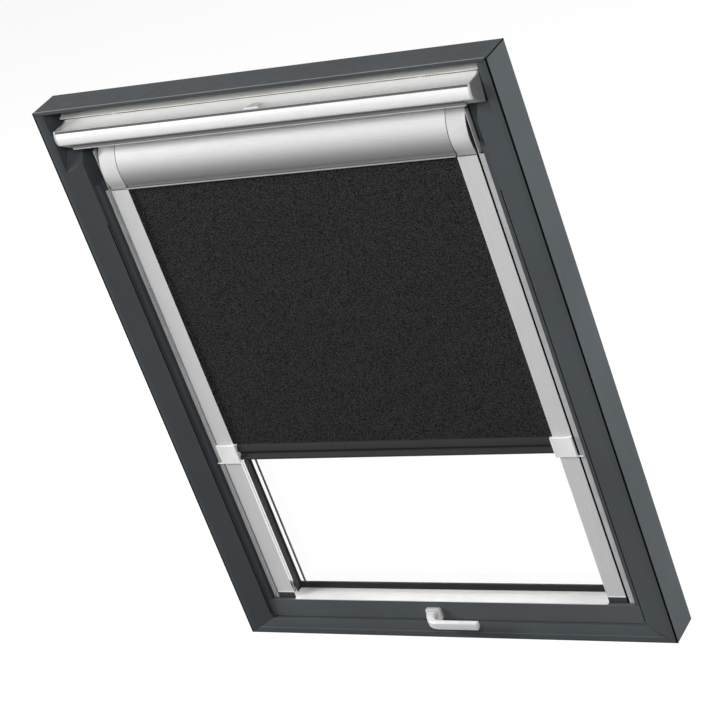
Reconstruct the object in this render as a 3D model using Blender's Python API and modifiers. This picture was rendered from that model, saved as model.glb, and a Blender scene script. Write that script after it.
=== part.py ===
"""Roof window with a cassette roller blind, built as separate pieces.

A fixed frame carries a sash on two side pivots.  A control bar hangs along the
sash head, a latch handle sits on the bottom rail, and a cassette roller blind
runs down the sash in two side rails.

Metres, +Z up the window, -Y to the room.  The origin is the middle of the
underside of the frame sill, halfway through the depth of the frame.
Places are given as an inset from a frame side, a depth behind the room-side
rim, a rise above the underside or a drop below the top.
"""

import math

import bmesh
import bpy
from mathutils import Vector

# Clearances
FIT_GAP = 0.0003            # between two fixed pieces that touch
BORE_GAP = 0.0003           # between a pin and its bore, on the radius
SLIDE_GAP = 0.0004          # between a sliding piece and its guide

# Outer frame
WINDOW_WIDTH = 0.780
WINDOW_HEIGHT = 0.980
FRAME_DEPTH = 0.060
FRAME_STILE_WIDTH = 0.048
FRAME_SILL_HEIGHT = 0.0255
FRAME_HEAD_HEIGHT = 0.0055
STILE_RIM_WIDTH = 0.012     # flat rim before the face falls away to the sash
SILL_RIM_WIDTH = 0.0115
RIM_FALL = 0.0075           # how far the face falls away
NOTCH_RIM_LAND = 0.005      # sloping face left beside the notch for the control bar
NOTCH_END_GAP = 0.0018      # below the control bar
NOTCH_SEAT_DEPTH = 0.022    # where the ramp below the bar starts
NOTCH_RAMP_LENGTH = 0.0322  # how far the ramp runs down to the rim

# Side pivots of the sash
PIVOT_HEIGHT = 0.490
PIVOT_PIN_RADIUS = 0.006
PIVOT_PIN_GRIP = 0.010      # length held in the frame stile
PIVOT_PIN_REACH = 0.0075    # length held in the sash stile

# Sash
SASH_SIDE_GAP = 0.001
SASH_BOTTOM_GAP = 0.0012
SASH_TOP_GAP = 0.0015
SASH_SETBACK = 0.012        # sash face behind the frame rim
SASH_STILE_WIDTH = 0.054
SASH_LIP_WIDTH = 0.008
SASH_LIP_DEPTH = 0.010
SASH_STEP_WIDTH = 0.0025
BOTTOM_RAIL_HEIGHT = 0.0338
SASH_HEAD_HEIGHT = 0.093
HEAD_SETBACK = 0.0438       # head panel behind the control bar

# Glazing
GLASS_SEAT_DEPTH = 0.041
GLASS_COVERED_EDGE = 0.011  # glass edge hidden behind the stiles
GLASS_EDGE_GAP = 0.0005
PANE_THICKNESS = 0.004
SPACER_WIDTH = 0.010
GASKET_THICKNESS = 0.002
GASKET_SIDE_WIDTH = 0.003
GASKET_BOTTOM_WIDTH = 0.0108
GLAZING_COVER_THICKNESS = 0.0024
GLAZING_COVER_MARGIN = 0.0012
GLAZING_COVER_LAP = 0.0006  # past the inner edge of the sash stiles

# Sill strip on the ledge of the bottom rail
SILL_STRIP_FRONT_THICKNESS = 0.0012
SILL_STRIP_BACK_THICKNESS = 0.0047
SILL_STRIP_NOSING = 0.0005  # its front edge behind the sash face
SILL_STRIP_DEPTH = 0.0263

# Blind guide rails
RAIL_FRONT_DEPTH = 0.017
RAIL_DEPTH = 0.009
RAIL_WIDTH = 0.0312
RAIL_SLOT_WIDTH = 0.002
RAIL_SLOT_DEPTH = 0.010
RAIL_END_HEIGHT = 0.0127
FLANGE_WIDTH = 0.0101       # flat side strip beside each rail
FLANGE_THICKNESS = 0.0015
FLANGE_SETBACK = 0.0005     # behind the front of the rails
FLANGE_RAIL_GAP = 0.0012
FLANGE_TOP_GAP = 0.0035     # below the top of the cassette

# Blind cassette
CASSETTE_DROP = 0.0765      # its top below the top of the window
CASSETTE_HEIGHT = 0.0705
CASSETTE_FRONT_DEPTH = 0.013
CASSETTE_BACK_DEPTH = 0.0375
CASSETTE_CURVE_RADIUS = 0.064
CASSETTE_CURVE_HEIGHT = 0.0425   # apex of the front curve below the cassette top
CASSETTE_LIP_HEIGHT = 0.0035
CASSETTE_WALL = 0.0015
CASSETTE_SLOT = 0.0024
CASSETTE_RAIL_OFFSET = 0.0002    # caps stand in from the outer edge of the rails
POCKET_MARGIN = 0.0005
POCKET_SIDE_RISE = 0.013    # the wide part of the pocket ends above the narrow part

# Roller and cloth
ROLLER_DROP = 0.0355        # roller axis below the cassette top
ROLLER_DEPTH = 0.0254
ROLLER_TUBE_RADIUS = 0.0065
ROLLER_TUBE_WALL = 0.0012
WOUND_CLOTH_RADIUS = 0.0096
ROLLER_PLUG_RADIUS = 0.0085
ROLLER_PLUG_FLANGE = 0.0027
ROLLER_PLUG_LENGTH = 0.018
ROLLER_PIN_RADIUS = 0.002
ROLLER_PIN_LENGTH = 0.0255
CLOTH_THICKNESS = 0.0006
CLOTH_EDGE_GAP = 0.0015     # between the cloth edge and the bottom of its slot
CLOTH_RISE_IN_CASSETTE = 0.020

# Bottom bar of the blind
BOTTOM_BAR_HEIGHT = 0.028
BOTTOM_BAR_RISE = 0.336     # where it stands, with the blind partly down
BOTTOM_BAR_FRONT_DEPTH = 0.0155
BOTTOM_BAR_DEPTH = 0.010
BOTTOM_BAR_LIP = 0.0028
BOTTOM_BAR_HOLLOW = 0.0035
SLIDER_OVERLAP = 0.004      # slider past the inner edge of its rail
SLIDER_OVERHANG = 0.0008    # slider past the outer edge of its rail
SLIDER_FRONT_THICKNESS = 0.0042
SLIDER_TOP_MARGIN = 0.003
SLIDER_BOTTOM_MARGIN = 0.004
SLIDER_TONGUE_THICKNESS = 0.0012
SLIDER_TONGUE_LENGTH = 0.009

# Control bar
BAR_INSET = 0.0315          # bar end from the side of the frame
BAR_AXIS_DROP = 0.031
BAR_AXIS_DEPTH = 0.031
BAR_BACK_TOP = (-0.0038, -0.0055)    # drop and depth from the hinge axis
BAR_FRONT_TOP = (-0.0002, -0.039)
BAR_NOSE_TOP = (0.0035, -0.0395)
BAR_FRONT_BOTTOM = (0.023, -0.0395)
BAR_BACK_BOTTOM = (0.040, -0.013)
BAR_TROUGH_SAG = 0.0040
BAR_NOSE_BULGE = 0.0030
BAR_WALL = 0.0022
BAR_END_THICKNESS = 0.003
BAR_LIP_INSET = 0.0195      # end of the lip from the end of the bar
BAR_LIP_START = 0.08        # places on the underside of the bar, as shares of its depth
BAR_LIP_END = 0.55
BAR_LIP_FRONT_FOOT = (0.0335, -0.0325)
BAR_LIP_BACK_FOOT = (0.0347, -0.0310)
CATCH_FRONT_WIDTH = 0.027
CATCH_BACK_WIDTH = 0.008
CATCH_THICKNESS = 0.003
CATCH_FRONT_SETBACK = 0.003
CATCH_BACK_SETBACK = 0.021

# Hinges of the control bar
BRACKET_INSET = 0.130       # middle of a bracket from the side of the frame
BRACKET_THICKNESS = 0.006
BRACKET_NOSE_RADIUS = 0.0048
BRACKET_FOOT_HEIGHT = 0.0125
LUG_THICKNESS = 0.005
LUG_GAP = 0.0005
BAR_PIN_RADIUS = 0.002
BAR_PIN_HEAD = 0.001

# Vent strip above the control bar
VENT_STRIP_INSET = 0.0288
VENT_STRIP_TOP_GAP = 0.0005
VENT_STRIP_FOOT_HEIGHT = 0.007
VENT_STRIP_FOOT_DEPTH = 0.0025
VENT_STRIP_TIP_DROP = 0.0151
VENT_STRIP_TIP_DEPTH = 0.020
VENT_STRIP_THICKNESS = 0.0025

# Handle and latch on the bottom rail
HANDLE_OFFSET = -0.025      # turning axis from the middle of the window
HANDLE_RISE = 0.0133        # turning axis above the underside of the bottom rail
ROSE_WIDTH = 0.0275
ROSE_HEIGHT = 0.021
ROSE_THICKNESS = 0.006
ROSE_CORNER = 0.003
NECK_LENGTH = 0.0194
NECK_HEIGHT = 0.0125
NECK_OUTLINE = (            # across from the turning axis, and out from the base plate
    (-0.0120, 0.0),
    (-0.0115, 0.0030),
    (-0.0092, 0.0084),
    (-0.0058, 0.0134),
    (-0.0020, 0.0180),
    (0.0025, 0.0216),
    (0.0130, 0.0244),
    (0.0130, 0.0194),
    (0.0095, 0.0152),
    (0.0072, 0.0105),
    (0.0060, 0.0050),
    (0.0058, 0.0),
)
LEVER_LENGTH = 0.091
LEVER_HEIGHT = 0.0135
LEVER_THICKNESS = 0.010
LEVER_OFFSET = 0.001        # near end of the lever from the turning axis
LEVER_ROUNDING = 0.0022
SPINDLE_SIDE = 0.007
SPINDLE_SOCKET = 0.009      # length of the spindle held in the handle
CAM_LENGTH = 0.018
CAM_ARM_WIDTH = 0.008
CAM_BOSS_RADIUS = 0.0068
CAM_THICKNESS = 0.0045
CAM_DEPTH = 0.0295
LATCH_WALL = 0.0012
LATCH_RUN_GAP = 0.0013
KEEPER_SLOT_GAP = 0.002
KEEPER_THICKNESS = 0.0059
KEEPER_RIM = 0.006
KEEPER_FLOOR = 0.0015

# Facets
ROUND_STEPS = 32
ARC_STEPS = 16
WELD_DISTANCE = 0.000001
FLAT_ANGLE = math.radians(0.2)

LEFT, RIGHT = -1, 1
SIDE_NAMES = {LEFT: "left", RIGHT: "right"}

# Places worked out from the sizes above: insets from a frame side
SASH_INSET = FRAME_STILE_WIDTH + SASH_SIDE_GAP
STEP_INSET = SASH_INSET + SASH_LIP_WIDTH
SHELF_INSET = STEP_INSET + SASH_STEP_WIDTH
OPENING_INSET = SASH_INSET + SASH_STILE_WIDTH
REBATE_INSET = OPENING_INSET - GLASS_COVERED_EDGE
RAIL_OUTER_INSET = OPENING_INSET - RAIL_WIDTH
CAP_OUTER_INSET = RAIL_OUTER_INSET + CASSETTE_RAIL_OFFSET
FLANGE_INNER_INSET = RAIL_OUTER_INSET - FLANGE_RAIL_GAP
FLANGE_OUTER_INSET = FLANGE_INNER_INSET - FLANGE_WIDTH
SLOT_BOTTOM_INSET = OPENING_INSET - RAIL_SLOT_DEPTH
CLOTH_INSET = SLOT_BOTTOM_INSET + CLOTH_EDGE_GAP
NOTCH_INSET = STILE_RIM_WIDTH + NOTCH_RIM_LAND

# Depths behind the room-side rim
RAIL_BACK_DEPTH = RAIL_FRONT_DEPTH + RAIL_DEPTH
SHELF_DEPTH = RAIL_BACK_DEPTH + FIT_GAP
POCKET_DEPTH = CASSETTE_BACK_DEPTH + FIT_GAP
SASH_BACK_DEPTH = FRAME_DEPTH - GLAZING_COVER_THICKNESS - FIT_GAP
CLOTH_DEPTH = RAIL_FRONT_DEPTH + RAIL_DEPTH / 2
PANE_FRONT_DEPTH = GLASS_SEAT_DEPTH + FIT_GAP
OUTER_PANE_DEPTH = SASH_BACK_DEPTH - PANE_THICKNESS

# Rises above the underside, and drops below the top
SASH_RISE = FRAME_SILL_HEIGHT + SASH_BOTTOM_GAP
LEDGE_RISE = SASH_RISE + BOTTOM_RAIL_HEIGHT
SASH_DROP = FRAME_HEAD_HEIGHT + SASH_TOP_GAP
HEAD_FOOT_DROP = SASH_DROP + SASH_HEAD_HEIGHT
CASSETTE_FOOT_DROP = CASSETTE_DROP + CASSETTE_HEIGHT
RAIL_FOOT_RISE = LEDGE_RISE + FIT_GAP + RAIL_END_HEIGHT
NOTCH_FOOT_DROP = BAR_AXIS_DROP + BAR_BACK_BOTTOM[0] + NOTCH_END_GAP
BOTTOM_BAR_TOP = BOTTOM_BAR_RISE + BOTTOM_BAR_HEIGHT
HANDLE_AXIS_RISE = SASH_RISE + HANDLE_RISE
ROLLER_AXIS_DROP = CASSETTE_DROP + ROLLER_DROP

COLLECTION_NAME = "skylight_window_blind"
CUTTER_COLLECTION_NAME = "cutters"

FINISHES = {
    "frame_grey": ((0.098, 0.109, 0.120), 0.42, 0.55),
    "sash_black": ((0.020, 0.022, 0.025), 0.55, 0.10),
    "satin_aluminium": ((0.62, 0.62, 0.61), 0.30, 0.90),
    "rail_grey": ((0.56, 0.56, 0.55), 0.38, 0.60),
    "vent_beige": ((0.36, 0.36, 0.32), 0.60, 0.00),
    "white_plastic": ((0.82, 0.82, 0.81), 0.45, 0.00),
    "black_cloth": ((0.030, 0.031, 0.033), 0.92, 0.00),
    "bar_black": ((0.060, 0.062, 0.065), 0.40, 0.40),
    "steel": ((0.50, 0.50, 0.50), 0.32, 1.00),
    "black_rubber": ((0.018, 0.018, 0.018), 0.80, 0.00),
    "clear_glass": ((0.80, 0.88, 0.86), 0.05, 0.00),
}


def empty_scene():
    """Remove every object that the scene starts with."""
    for obj in list(bpy.data.objects):
        bpy.data.objects.remove(obj, do_unlink=True)


def new_collection(name):
    """Add a collection to the scene."""
    collection = bpy.data.collections.new(name)
    bpy.context.scene.collection.children.link(collection)
    return collection


def new_materials():
    """Make one Principled BSDF material for each finish."""
    materials = {}
    for name, (colour, roughness, metallic) in FINISHES.items():
        material = bpy.data.materials.new(name)
        material.use_nodes = True
        shader = material.node_tree.nodes["Principled BSDF"]
        shader.inputs["Base Color"].default_value = (*colour, 1.0)
        shader.inputs["Roughness"].default_value = roughness
        shader.inputs["Metallic"].default_value = metallic
        if name == "clear_glass":
            shader.inputs["Transmission Weight"].default_value = 1.0
        material.diffuse_color = (*colour, 1.0)
        materials[name] = material
    return materials


empty_scene()
PARTS = new_collection(COLLECTION_NAME)
CUTTERS = new_collection(CUTTER_COLLECTION_NAME)
MATERIALS = new_materials()


def at_side(side, inset):
    """World x of a place that lies inset from one side of the frame."""
    return side * (WINDOW_WIDTH / 2 - inset)


def at_depth(depth):
    """World y of a place that lies behind the room-side rim."""
    return depth - FRAME_DEPTH / 2


def at_drop(drop):
    """World z of a place that lies below the top of the window."""
    return WINDOW_HEIGHT - drop


def arc_between(start, end, bulge, steps=ARC_STEPS):
    """Points of a circular arc, which bulges to the left of start-to-end."""
    ax, ay = start
    bx, by = end
    chord = math.hypot(bx - ax, by - ay)
    radius = (chord * chord / 4 + bulge * bulge) / (2 * abs(bulge))
    half_angle = math.asin(chord / (2 * radius))
    along = ((bx - ax) / chord, (by - ay) / chord)
    left = (-along[1], along[0])
    turn = math.copysign(1.0, bulge)
    points = []
    for step in range(steps + 1):
        angle = half_angle * (2 * step / steps - 1)
        run = chord / 2 + radius * math.sin(angle)
        rise = turn * radius * (math.cos(angle) - math.cos(half_angle))
        points.append((ax + along[0] * run + left[0] * rise, ay + along[1] * run + left[1] * rise))
    return points


def round_arc(centre, radius, first, last, steps=ARC_STEPS):
    """Points of an arc about a centre, from one angle to another in degrees."""
    points = []
    for step in range(steps + 1):
        angle = math.radians(first + (last - first) * step / steps)
        points.append((centre[0] + radius * math.cos(angle), centre[1] + radius * math.sin(angle)))
    return points


def loop_area(loop):
    """Signed area of a closed loop of points."""
    pairs = zip(loop, loop[1:] + loop[:1])
    return sum(ax * by - bx * ay for (ax, ay), (bx, by) in pairs) / 2


def inner_loop(loop, wall):
    """Draw a closed loop in by a wall thickness all round."""
    turn = math.copysign(1.0, loop_area(loop))
    count = len(loop)
    drawn = []
    for index in range(count):
        before = Vector(loop[index - 1])
        here = Vector(loop[index])
        after = Vector(loop[(index + 1) % count])
        first = (here - before).normalized()
        second = (after - here).normalized()
        first_inward = Vector((-first.y, first.x)) * turn
        second_inward = Vector((-second.y, second.x)) * turn
        middle = (first_inward + second_inward).normalized()
        reach = wall / max(middle.dot(first_inward), 0.2)
        drawn.append(tuple(here + middle * reach))
    return drawn


def dress(obj, finish):
    """Give an object its material."""
    obj.data.materials.clear()
    obj.data.materials.append(MATERIALS[finish])


def mesh_object(name, bm, location, rotation, finish):
    """Make an object from a bmesh: a piece with a finish, or a cutter without one."""
    mesh = bpy.data.meshes.new(name)
    bm.to_mesh(mesh)
    bm.free()
    obj = bpy.data.objects.new(name, mesh)
    obj.location = location
    obj.rotation_euler = rotation
    if finish is None:
        obj.hide_render = True
        obj.display_type = "WIRE"
        CUTTERS.objects.link(obj)
    else:
        PARTS.objects.link(obj)
        dress(obj, finish)
    return obj


def outline_curve(name, loops, thickness, filled):
    """A flat curve of closed or open loops, extruded both ways to a thickness."""
    curve = bpy.data.curves.new(name, "CURVE")
    curve.dimensions = "2D"
    curve.fill_mode = "BOTH" if filled else "NONE"
    curve.extrude = thickness / 2
    for loop in loops:
        spline = curve.splines.new("POLY")
        spline.points.add(len(loop) - 1)
        for point, (across, up) in zip(spline.points, loop):
            point.co = (across, up, 0.0, 1.0)
        spline.use_cyclic_u = filled
    return curve


def outline_solid(name, loops, thickness, location, rotation, finish, filled=True):
    """Turn extruded flat loops into a welded mesh object in its place."""
    centre = loops_centre(loops)
    centred = [[(across - centre[0], up - centre[1]) for across, up in loop] for loop in loops]
    curve = outline_curve(name, centred, thickness, filled)
    guide = bpy.data.objects.new(name + "_outline", curve)
    guide.rotation_euler = rotation
    PARTS.objects.link(guide)
    bpy.context.view_layer.update()
    shift = guide.matrix_world.to_3x3() @ Vector((centre[0], centre[1], 0.0))
    evaluated = guide.evaluated_get(bpy.context.evaluated_depsgraph_get())
    mesh = bpy.data.meshes.new_from_object(evaluated)
    bpy.data.objects.remove(guide, do_unlink=True)
    bpy.data.curves.remove(curve)
    bm = bmesh.new()
    bm.from_mesh(mesh)
    bpy.data.meshes.remove(mesh)
    bmesh.ops.remove_doubles(bm, verts=bm.verts[:], dist=WELD_DISTANCE)
    bmesh.ops.dissolve_limit(bm, angle_limit=FLAT_ANGLE, verts=bm.verts[:], edges=bm.edges[:])
    bmesh.ops.recalc_face_normals(bm, faces=bm.faces[:])
    return mesh_object(name, bm, Vector(location) + shift, rotation, finish)


def loops_centre(loops):
    """Middle of the box round the outer loop."""
    across = [point[0] for point in loops[0]]
    up = [point[1] for point in loops[0]]
    return (min(across) + max(across)) / 2, (min(up) + max(up)) / 2


ALONG_X = (math.pi / 2, 0.0, math.pi / 2)
ALONG_Y = (math.pi / 2, 0.0, 0.0)
ALONG_Z = (0.0, 0.0, 0.0)
AXLE_ALONG_X = (0.0, math.pi / 2, 0.0)


def beam(name, section, first_x, last_x, finish, hole=None, filled=True):
    """A member along X, from a section of (world y, world z) points."""
    loops = [section] if hole is None else [section, hole]
    middle = ((first_x + last_x) / 2, 0.0, 0.0)
    return outline_solid(name, loops, abs(last_x - first_x), middle, ALONG_X, finish, filled)


def post(name, section, first_z, last_z, finish):
    """A member along Z, from a section of (world x, world y) points."""
    middle = (0.0, 0.0, (first_z + last_z) / 2)
    return outline_solid(name, [section], abs(last_z - first_z), middle, ALONG_Z, finish)


def plate(name, loops, first_depth, last_depth, finish):
    """A flat piece facing the room, from loops of (world x, world z) points."""
    middle = (0.0, at_depth((first_depth + last_depth) / 2), 0.0)
    return outline_solid(name, loops, abs(last_depth - first_depth), middle, ALONG_Y, finish)


def block(name, corner, opposite, finish=None):
    """A box between two opposite corners."""
    low = Vector([min(pair) for pair in zip(corner, opposite)])
    high = Vector([max(pair) for pair in zip(corner, opposite)])
    bm = bmesh.new()
    bmesh.ops.create_cube(bm, size=1.0)
    bmesh.ops.scale(bm, vec=high - low, verts=bm.verts[:])
    return mesh_object(name, bm, (low + high) / 2, ALONG_Z, finish)


def rod(name, radius, middle, length, rotation, finish=None):
    """A round bar about its local Z, turned into place."""
    bm = bmesh.new()
    bmesh.ops.create_cone(
        bm, cap_ends=True, segments=ROUND_STEPS, radius1=radius, radius2=radius, depth=length
    )
    obj = mesh_object(name, bm, middle, rotation, finish)
    smooth(obj)
    return obj


def turned(name, profile, location, rotation, finish):
    """A turned piece: a profile of (radius, height) points swept round its local Z."""
    bm = bmesh.new()
    corners = [bm.verts.new((radius, 0.0, height)) for radius, height in profile]
    for first, second in zip(corners, corners[1:]):
        bm.edges.new((first, second))
    obj = mesh_object(name, bm, location, rotation, finish)
    screw = obj.modifiers.new("turn", "SCREW")
    screw.axis = "Z"
    screw.angle = 2 * math.pi
    screw.steps = ROUND_STEPS
    screw.render_steps = ROUND_STEPS
    screw.use_merge_vertices = True
    screw.merge_threshold = WELD_DISTANCE
    screw.use_smooth_shade = True
    return obj


def smooth(obj):
    """Shade round faces smooth and keep sharp edges sharp."""
    obj.data.shade_smooth()
    obj.data.set_sharp_from_angle(angle=math.radians(35))


def combine(obj, other, operation):
    """Cut one object with another, or join another to it."""
    modifier = obj.modifiers.new(operation.lower(), "BOOLEAN")
    modifier.operation = operation
    modifier.solver = "EXACT"
    modifier.object = other


def cut(obj, *cutters):
    """Cut an object with each of the cutters."""
    for cutter in cutters:
        combine(obj, cutter, "DIFFERENCE")


def join(obj, *additions):
    """Join solids that overlap an object to it."""
    for addition in additions:
        combine(obj, addition, "UNION")


def round_edges(obj, width, segments=2, angle=30):
    """Round an object's edges."""
    modifier = obj.modifiers.new("round_edges", "BEVEL")
    modifier.width = width
    modifier.segments = segments
    modifier.limit_method = "ANGLE"
    modifier.angle_limit = math.radians(angle)


def trim(obj, point, outward):
    """Saw a mesh off at a plane, drop what lies outward and close the cut."""
    bm = bmesh.new()
    bm.from_mesh(obj.data)
    into_local = obj.matrix_basis.inverted()
    cut_result = bmesh.ops.bisect_plane(
        bm,
        geom=bm.verts[:] + bm.edges[:] + bm.faces[:],
        plane_co=into_local @ Vector(point),
        plane_no=into_local.to_3x3() @ Vector(outward),
        clear_outer=True,
    )
    rim = [item for item in cut_result["geom_cut"] if isinstance(item, bmesh.types.BMEdge)]
    bmesh.ops.edgeloop_fill(bm, edges=rim)
    bmesh.ops.recalc_face_normals(bm, faces=bm.faces[:])
    bm.to_mesh(obj.data)
    bm.free()


def side_section(side, section):
    """World (x, y) points of a section given as (inset, depth) points."""
    return [(at_side(side, inset), at_depth(depth)) for inset, depth in section]


def rise_section(section):
    """World (y, z) points of a section given as (rise, depth) points."""
    return [(at_depth(depth), rise) for rise, depth in section]


def drop_section(section):
    """World (y, z) points of a section given as (drop, depth) points."""
    return [(at_depth(depth), at_drop(drop)) for drop, depth in section]


# Outer frame

def mitre_direction():
    """Unit vector up the bottom mitre, as (inset, rise)."""
    length = math.hypot(FRAME_STILE_WIDTH, FRAME_SILL_HEIGHT)
    return FRAME_STILE_WIDTH / length, FRAME_SILL_HEIGHT / length


def trim_to_mitre(obj, side, upward):
    """Saw a frame member along the bottom mitre of one side."""
    run, rise = mitre_direction()
    normal = Vector((side * rise, 0.0, run))
    corner = Vector((at_side(side, 0.0), 0.0, 0.0))
    trim(obj, corner - normal * upward * FIT_GAP / 2, normal * upward)


def head_mitre_cutter(name, side):
    """A cutter that leaves the head its room: a mitre at the corner, then a flat seat."""
    gap = FIT_GAP * math.sqrt(2)
    outline = [
        (-FRAME_DEPTH, gap - FRAME_DEPTH),
        (FRAME_HEAD_HEIGHT, FRAME_HEAD_HEIGHT + gap),
        (SASH_INSET, FRAME_HEAD_HEIGHT + gap),
        (SASH_INSET, gap - FRAME_DEPTH),
    ]
    loop = [(at_side(side, inset), at_drop(drop)) for inset, drop in outline]
    return plate(name, [loop], -FRAME_DEPTH, 2 * FRAME_DEPTH, None)


def notch_cutter(name, side):
    """A cutter for the end of the control bar, with a ramp below that runs out to the rim."""
    back = HEAD_SETBACK + SASH_TOP_GAP
    top = -FRAME_HEAD_HEIGHT
    ramp_fall = NOTCH_RAMP_LENGTH / NOTCH_SEAT_DEPTH
    section = [
        (top, -FRAME_DEPTH),
        (NOTCH_FOOT_DROP + ramp_fall * (NOTCH_SEAT_DEPTH + FRAME_DEPTH), -FRAME_DEPTH),
        (NOTCH_FOOT_DROP, NOTCH_SEAT_DEPTH),
        (NOTCH_FOOT_DROP, back),
        (top, back),
    ]
    ends = (at_side(side, NOTCH_INSET), at_side(side, SASH_INSET))
    return beam(name, drop_section(section), *ends, None)


def build_frame_stile(side):
    """A side member, notched for the end of the control bar and bored for the pivot."""
    section = [
        (0.0, 0.0),
        (STILE_RIM_WIDTH, 0.0),
        (FRAME_STILE_WIDTH, RIM_FALL),
        (FRAME_STILE_WIDTH, FRAME_DEPTH),
        (0.0, FRAME_DEPTH),
    ]
    name = "frame_stile_" + SIDE_NAMES[side]
    stile = post(name, side_section(side, section), 0.0, WINDOW_HEIGHT, "frame_grey")
    trim_to_mitre(stile, side, -1)
    mitre = head_mitre_cutter(name + "_head_mitre", side)
    notch = notch_cutter(name + "_notch", side)
    bore_length = 2 * PIVOT_PIN_GRIP
    bore = rod(
        name + "_pivot_bore",
        PIVOT_PIN_RADIUS + BORE_GAP,
        (at_side(side, FRAME_STILE_WIDTH + FIT_GAP), 0.0, PIVOT_HEIGHT),
        bore_length + 2 * FIT_GAP,
        AXLE_ALONG_X,
    )
    cut(stile, mitre, notch, bore)
    return stile


def build_frame_head():
    """The top member, mitred at its ends, which lies across both side members."""
    section = [(0.0, 0.0), (FRAME_HEAD_HEIGHT, 0.0), (FRAME_HEAD_HEIGHT, FRAME_DEPTH), (0.0, FRAME_DEPTH)]
    ends = (at_side(LEFT, 0.0), at_side(RIGHT, 0.0))
    head = beam("frame_head", drop_section(section), *ends, "frame_grey")
    for side in (LEFT, RIGHT):
        corner = (at_side(side, 0.0), 0.0, WINDOW_HEIGHT)
        trim(head, corner, Vector((side, 0.0, -1.0)).normalized())
    return head


def latch_reach():
    """Half widths of the space that the latch cam sweeps, left and right of its axis."""
    return CAM_LENGTH + LATCH_RUN_GAP, CAM_BOSS_RADIUS + LATCH_RUN_GAP


def keeper_box(grow):
    """Opposite corners of the keeper, or of its recess when grown."""
    left_reach, right_reach = latch_reach()
    middle_depth = CAM_DEPTH + CAM_THICKNESS / 2
    half_depth = CAM_THICKNESS / 2 + KEEPER_SLOT_GAP + KEEPER_RIM
    top = FRAME_SILL_HEIGHT - FIT_GAP
    low = (HANDLE_OFFSET - left_reach - grow, at_depth(middle_depth - half_depth - grow))
    high = (HANDLE_OFFSET + right_reach + KEEPER_RIM + grow, at_depth(middle_depth + half_depth + grow))
    return (*low, top - KEEPER_THICKNESS - grow), (*high, top + grow)


def build_frame_sill():
    """The bottom member, mitred into the sides, with a recess for the keeper."""
    section = [
        (0.0, 0.0),
        (SILL_RIM_WIDTH, 0.0),
        (FRAME_SILL_HEIGHT, RIM_FALL),
        (FRAME_SILL_HEIGHT, FRAME_DEPTH),
        (0.0, FRAME_DEPTH),
    ]
    ends = (at_side(LEFT, 0.0), at_side(RIGHT, 0.0))
    sill = beam("frame_sill", rise_section(section), *ends, "frame_grey")
    trim_to_mitre(sill, LEFT, 1)
    trim_to_mitre(sill, RIGHT, 1)
    low, high = keeper_box(FIT_GAP)
    recess = block("keeper_recess", low, (high[0], high[1], FRAME_SILL_HEIGHT + FRAME_DEPTH))
    cut(sill, recess)
    return sill


def build_lock_keeper():
    """The plate in the sill that the latch cam turns into."""
    low, high = keeper_box(0.0)
    keeper = block("lock_keeper", low, high, "steel")
    left_reach, right_reach = latch_reach()
    slot = block(
        "keeper_slot",
        (
            HANDLE_OFFSET - left_reach + KEEPER_RIM,
            at_depth(CAM_DEPTH - KEEPER_SLOT_GAP),
            low[2] + KEEPER_FLOOR,
        ),
        (
            HANDLE_OFFSET + right_reach,
            at_depth(CAM_DEPTH + CAM_THICKNESS + KEEPER_SLOT_GAP),
            high[2] + KEEPER_THICKNESS,
        ),
    )
    cut(keeper, slot)
    return keeper


def build_pivot_pin(side):
    """The pin that carries one side of the sash."""
    outer = FRAME_STILE_WIDTH - PIVOT_PIN_GRIP
    inner = SASH_INSET + PIVOT_PIN_REACH
    middle = (at_side(side, (outer + inner) / 2), 0.0, PIVOT_HEIGHT)
    name = "pivot_pin_" + SIDE_NAMES[side]
    return rod(name, PIVOT_PIN_RADIUS, middle, inner - outer, AXLE_ALONG_X, "steel")


# Sash

def build_sash_stile(side):
    """A sash side member with its lip, shelf for the blind rail and glass rebate."""
    section = [
        (SASH_INSET, SASH_SETBACK),
        (STEP_INSET, SASH_SETBACK),
        (STEP_INSET, SASH_SETBACK + SASH_LIP_DEPTH),
        (SHELF_INSET, SASH_SETBACK + SASH_LIP_DEPTH),
        (SHELF_INSET, SHELF_DEPTH),
        (OPENING_INSET, SHELF_DEPTH),
        (OPENING_INSET, GLASS_SEAT_DEPTH),
        (REBATE_INSET, GLASS_SEAT_DEPTH),
        (REBATE_INSET, SASH_BACK_DEPTH),
        (SASH_INSET, SASH_BACK_DEPTH),
    ]
    name = "sash_stile_" + SIDE_NAMES[side]
    bottom = LEDGE_RISE + FIT_GAP
    top = at_drop(HEAD_FOOT_DROP + FIT_GAP)
    stile = post(name, side_section(side, section), bottom, top, "sash_black")
    pocket_outline = [
        (FRAME_STILE_WIDTH, SASH_DROP),
        (FRAME_STILE_WIDTH, CASSETTE_FOOT_DROP - POCKET_SIDE_RISE),
        (RAIL_OUTER_INSET - POCKET_MARGIN, CASSETTE_FOOT_DROP - POCKET_SIDE_RISE),
        (RAIL_OUTER_INSET - POCKET_MARGIN, CASSETTE_FOOT_DROP + POCKET_MARGIN),
        (OPENING_INSET + POCKET_MARGIN, CASSETTE_FOOT_DROP + POCKET_MARGIN),
        (OPENING_INSET + POCKET_MARGIN, SASH_DROP),
    ]
    pocket_loop = [(at_side(side, inset), at_drop(drop)) for inset, drop in pocket_outline]
    pocket = plate(name + "_cassette_pocket", [pocket_loop], 0.0, POCKET_DEPTH, None)
    bore_end = PIVOT_PIN_REACH + FIT_GAP
    bore = rod(
        name + "_pivot_bore",
        PIVOT_PIN_RADIUS + BORE_GAP,
        (at_side(side, SASH_INSET), 0.0, PIVOT_HEIGHT),
        2 * bore_end,
        AXLE_ALONG_X,
    )
    cut(stile, pocket, bore)
    return stile


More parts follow.
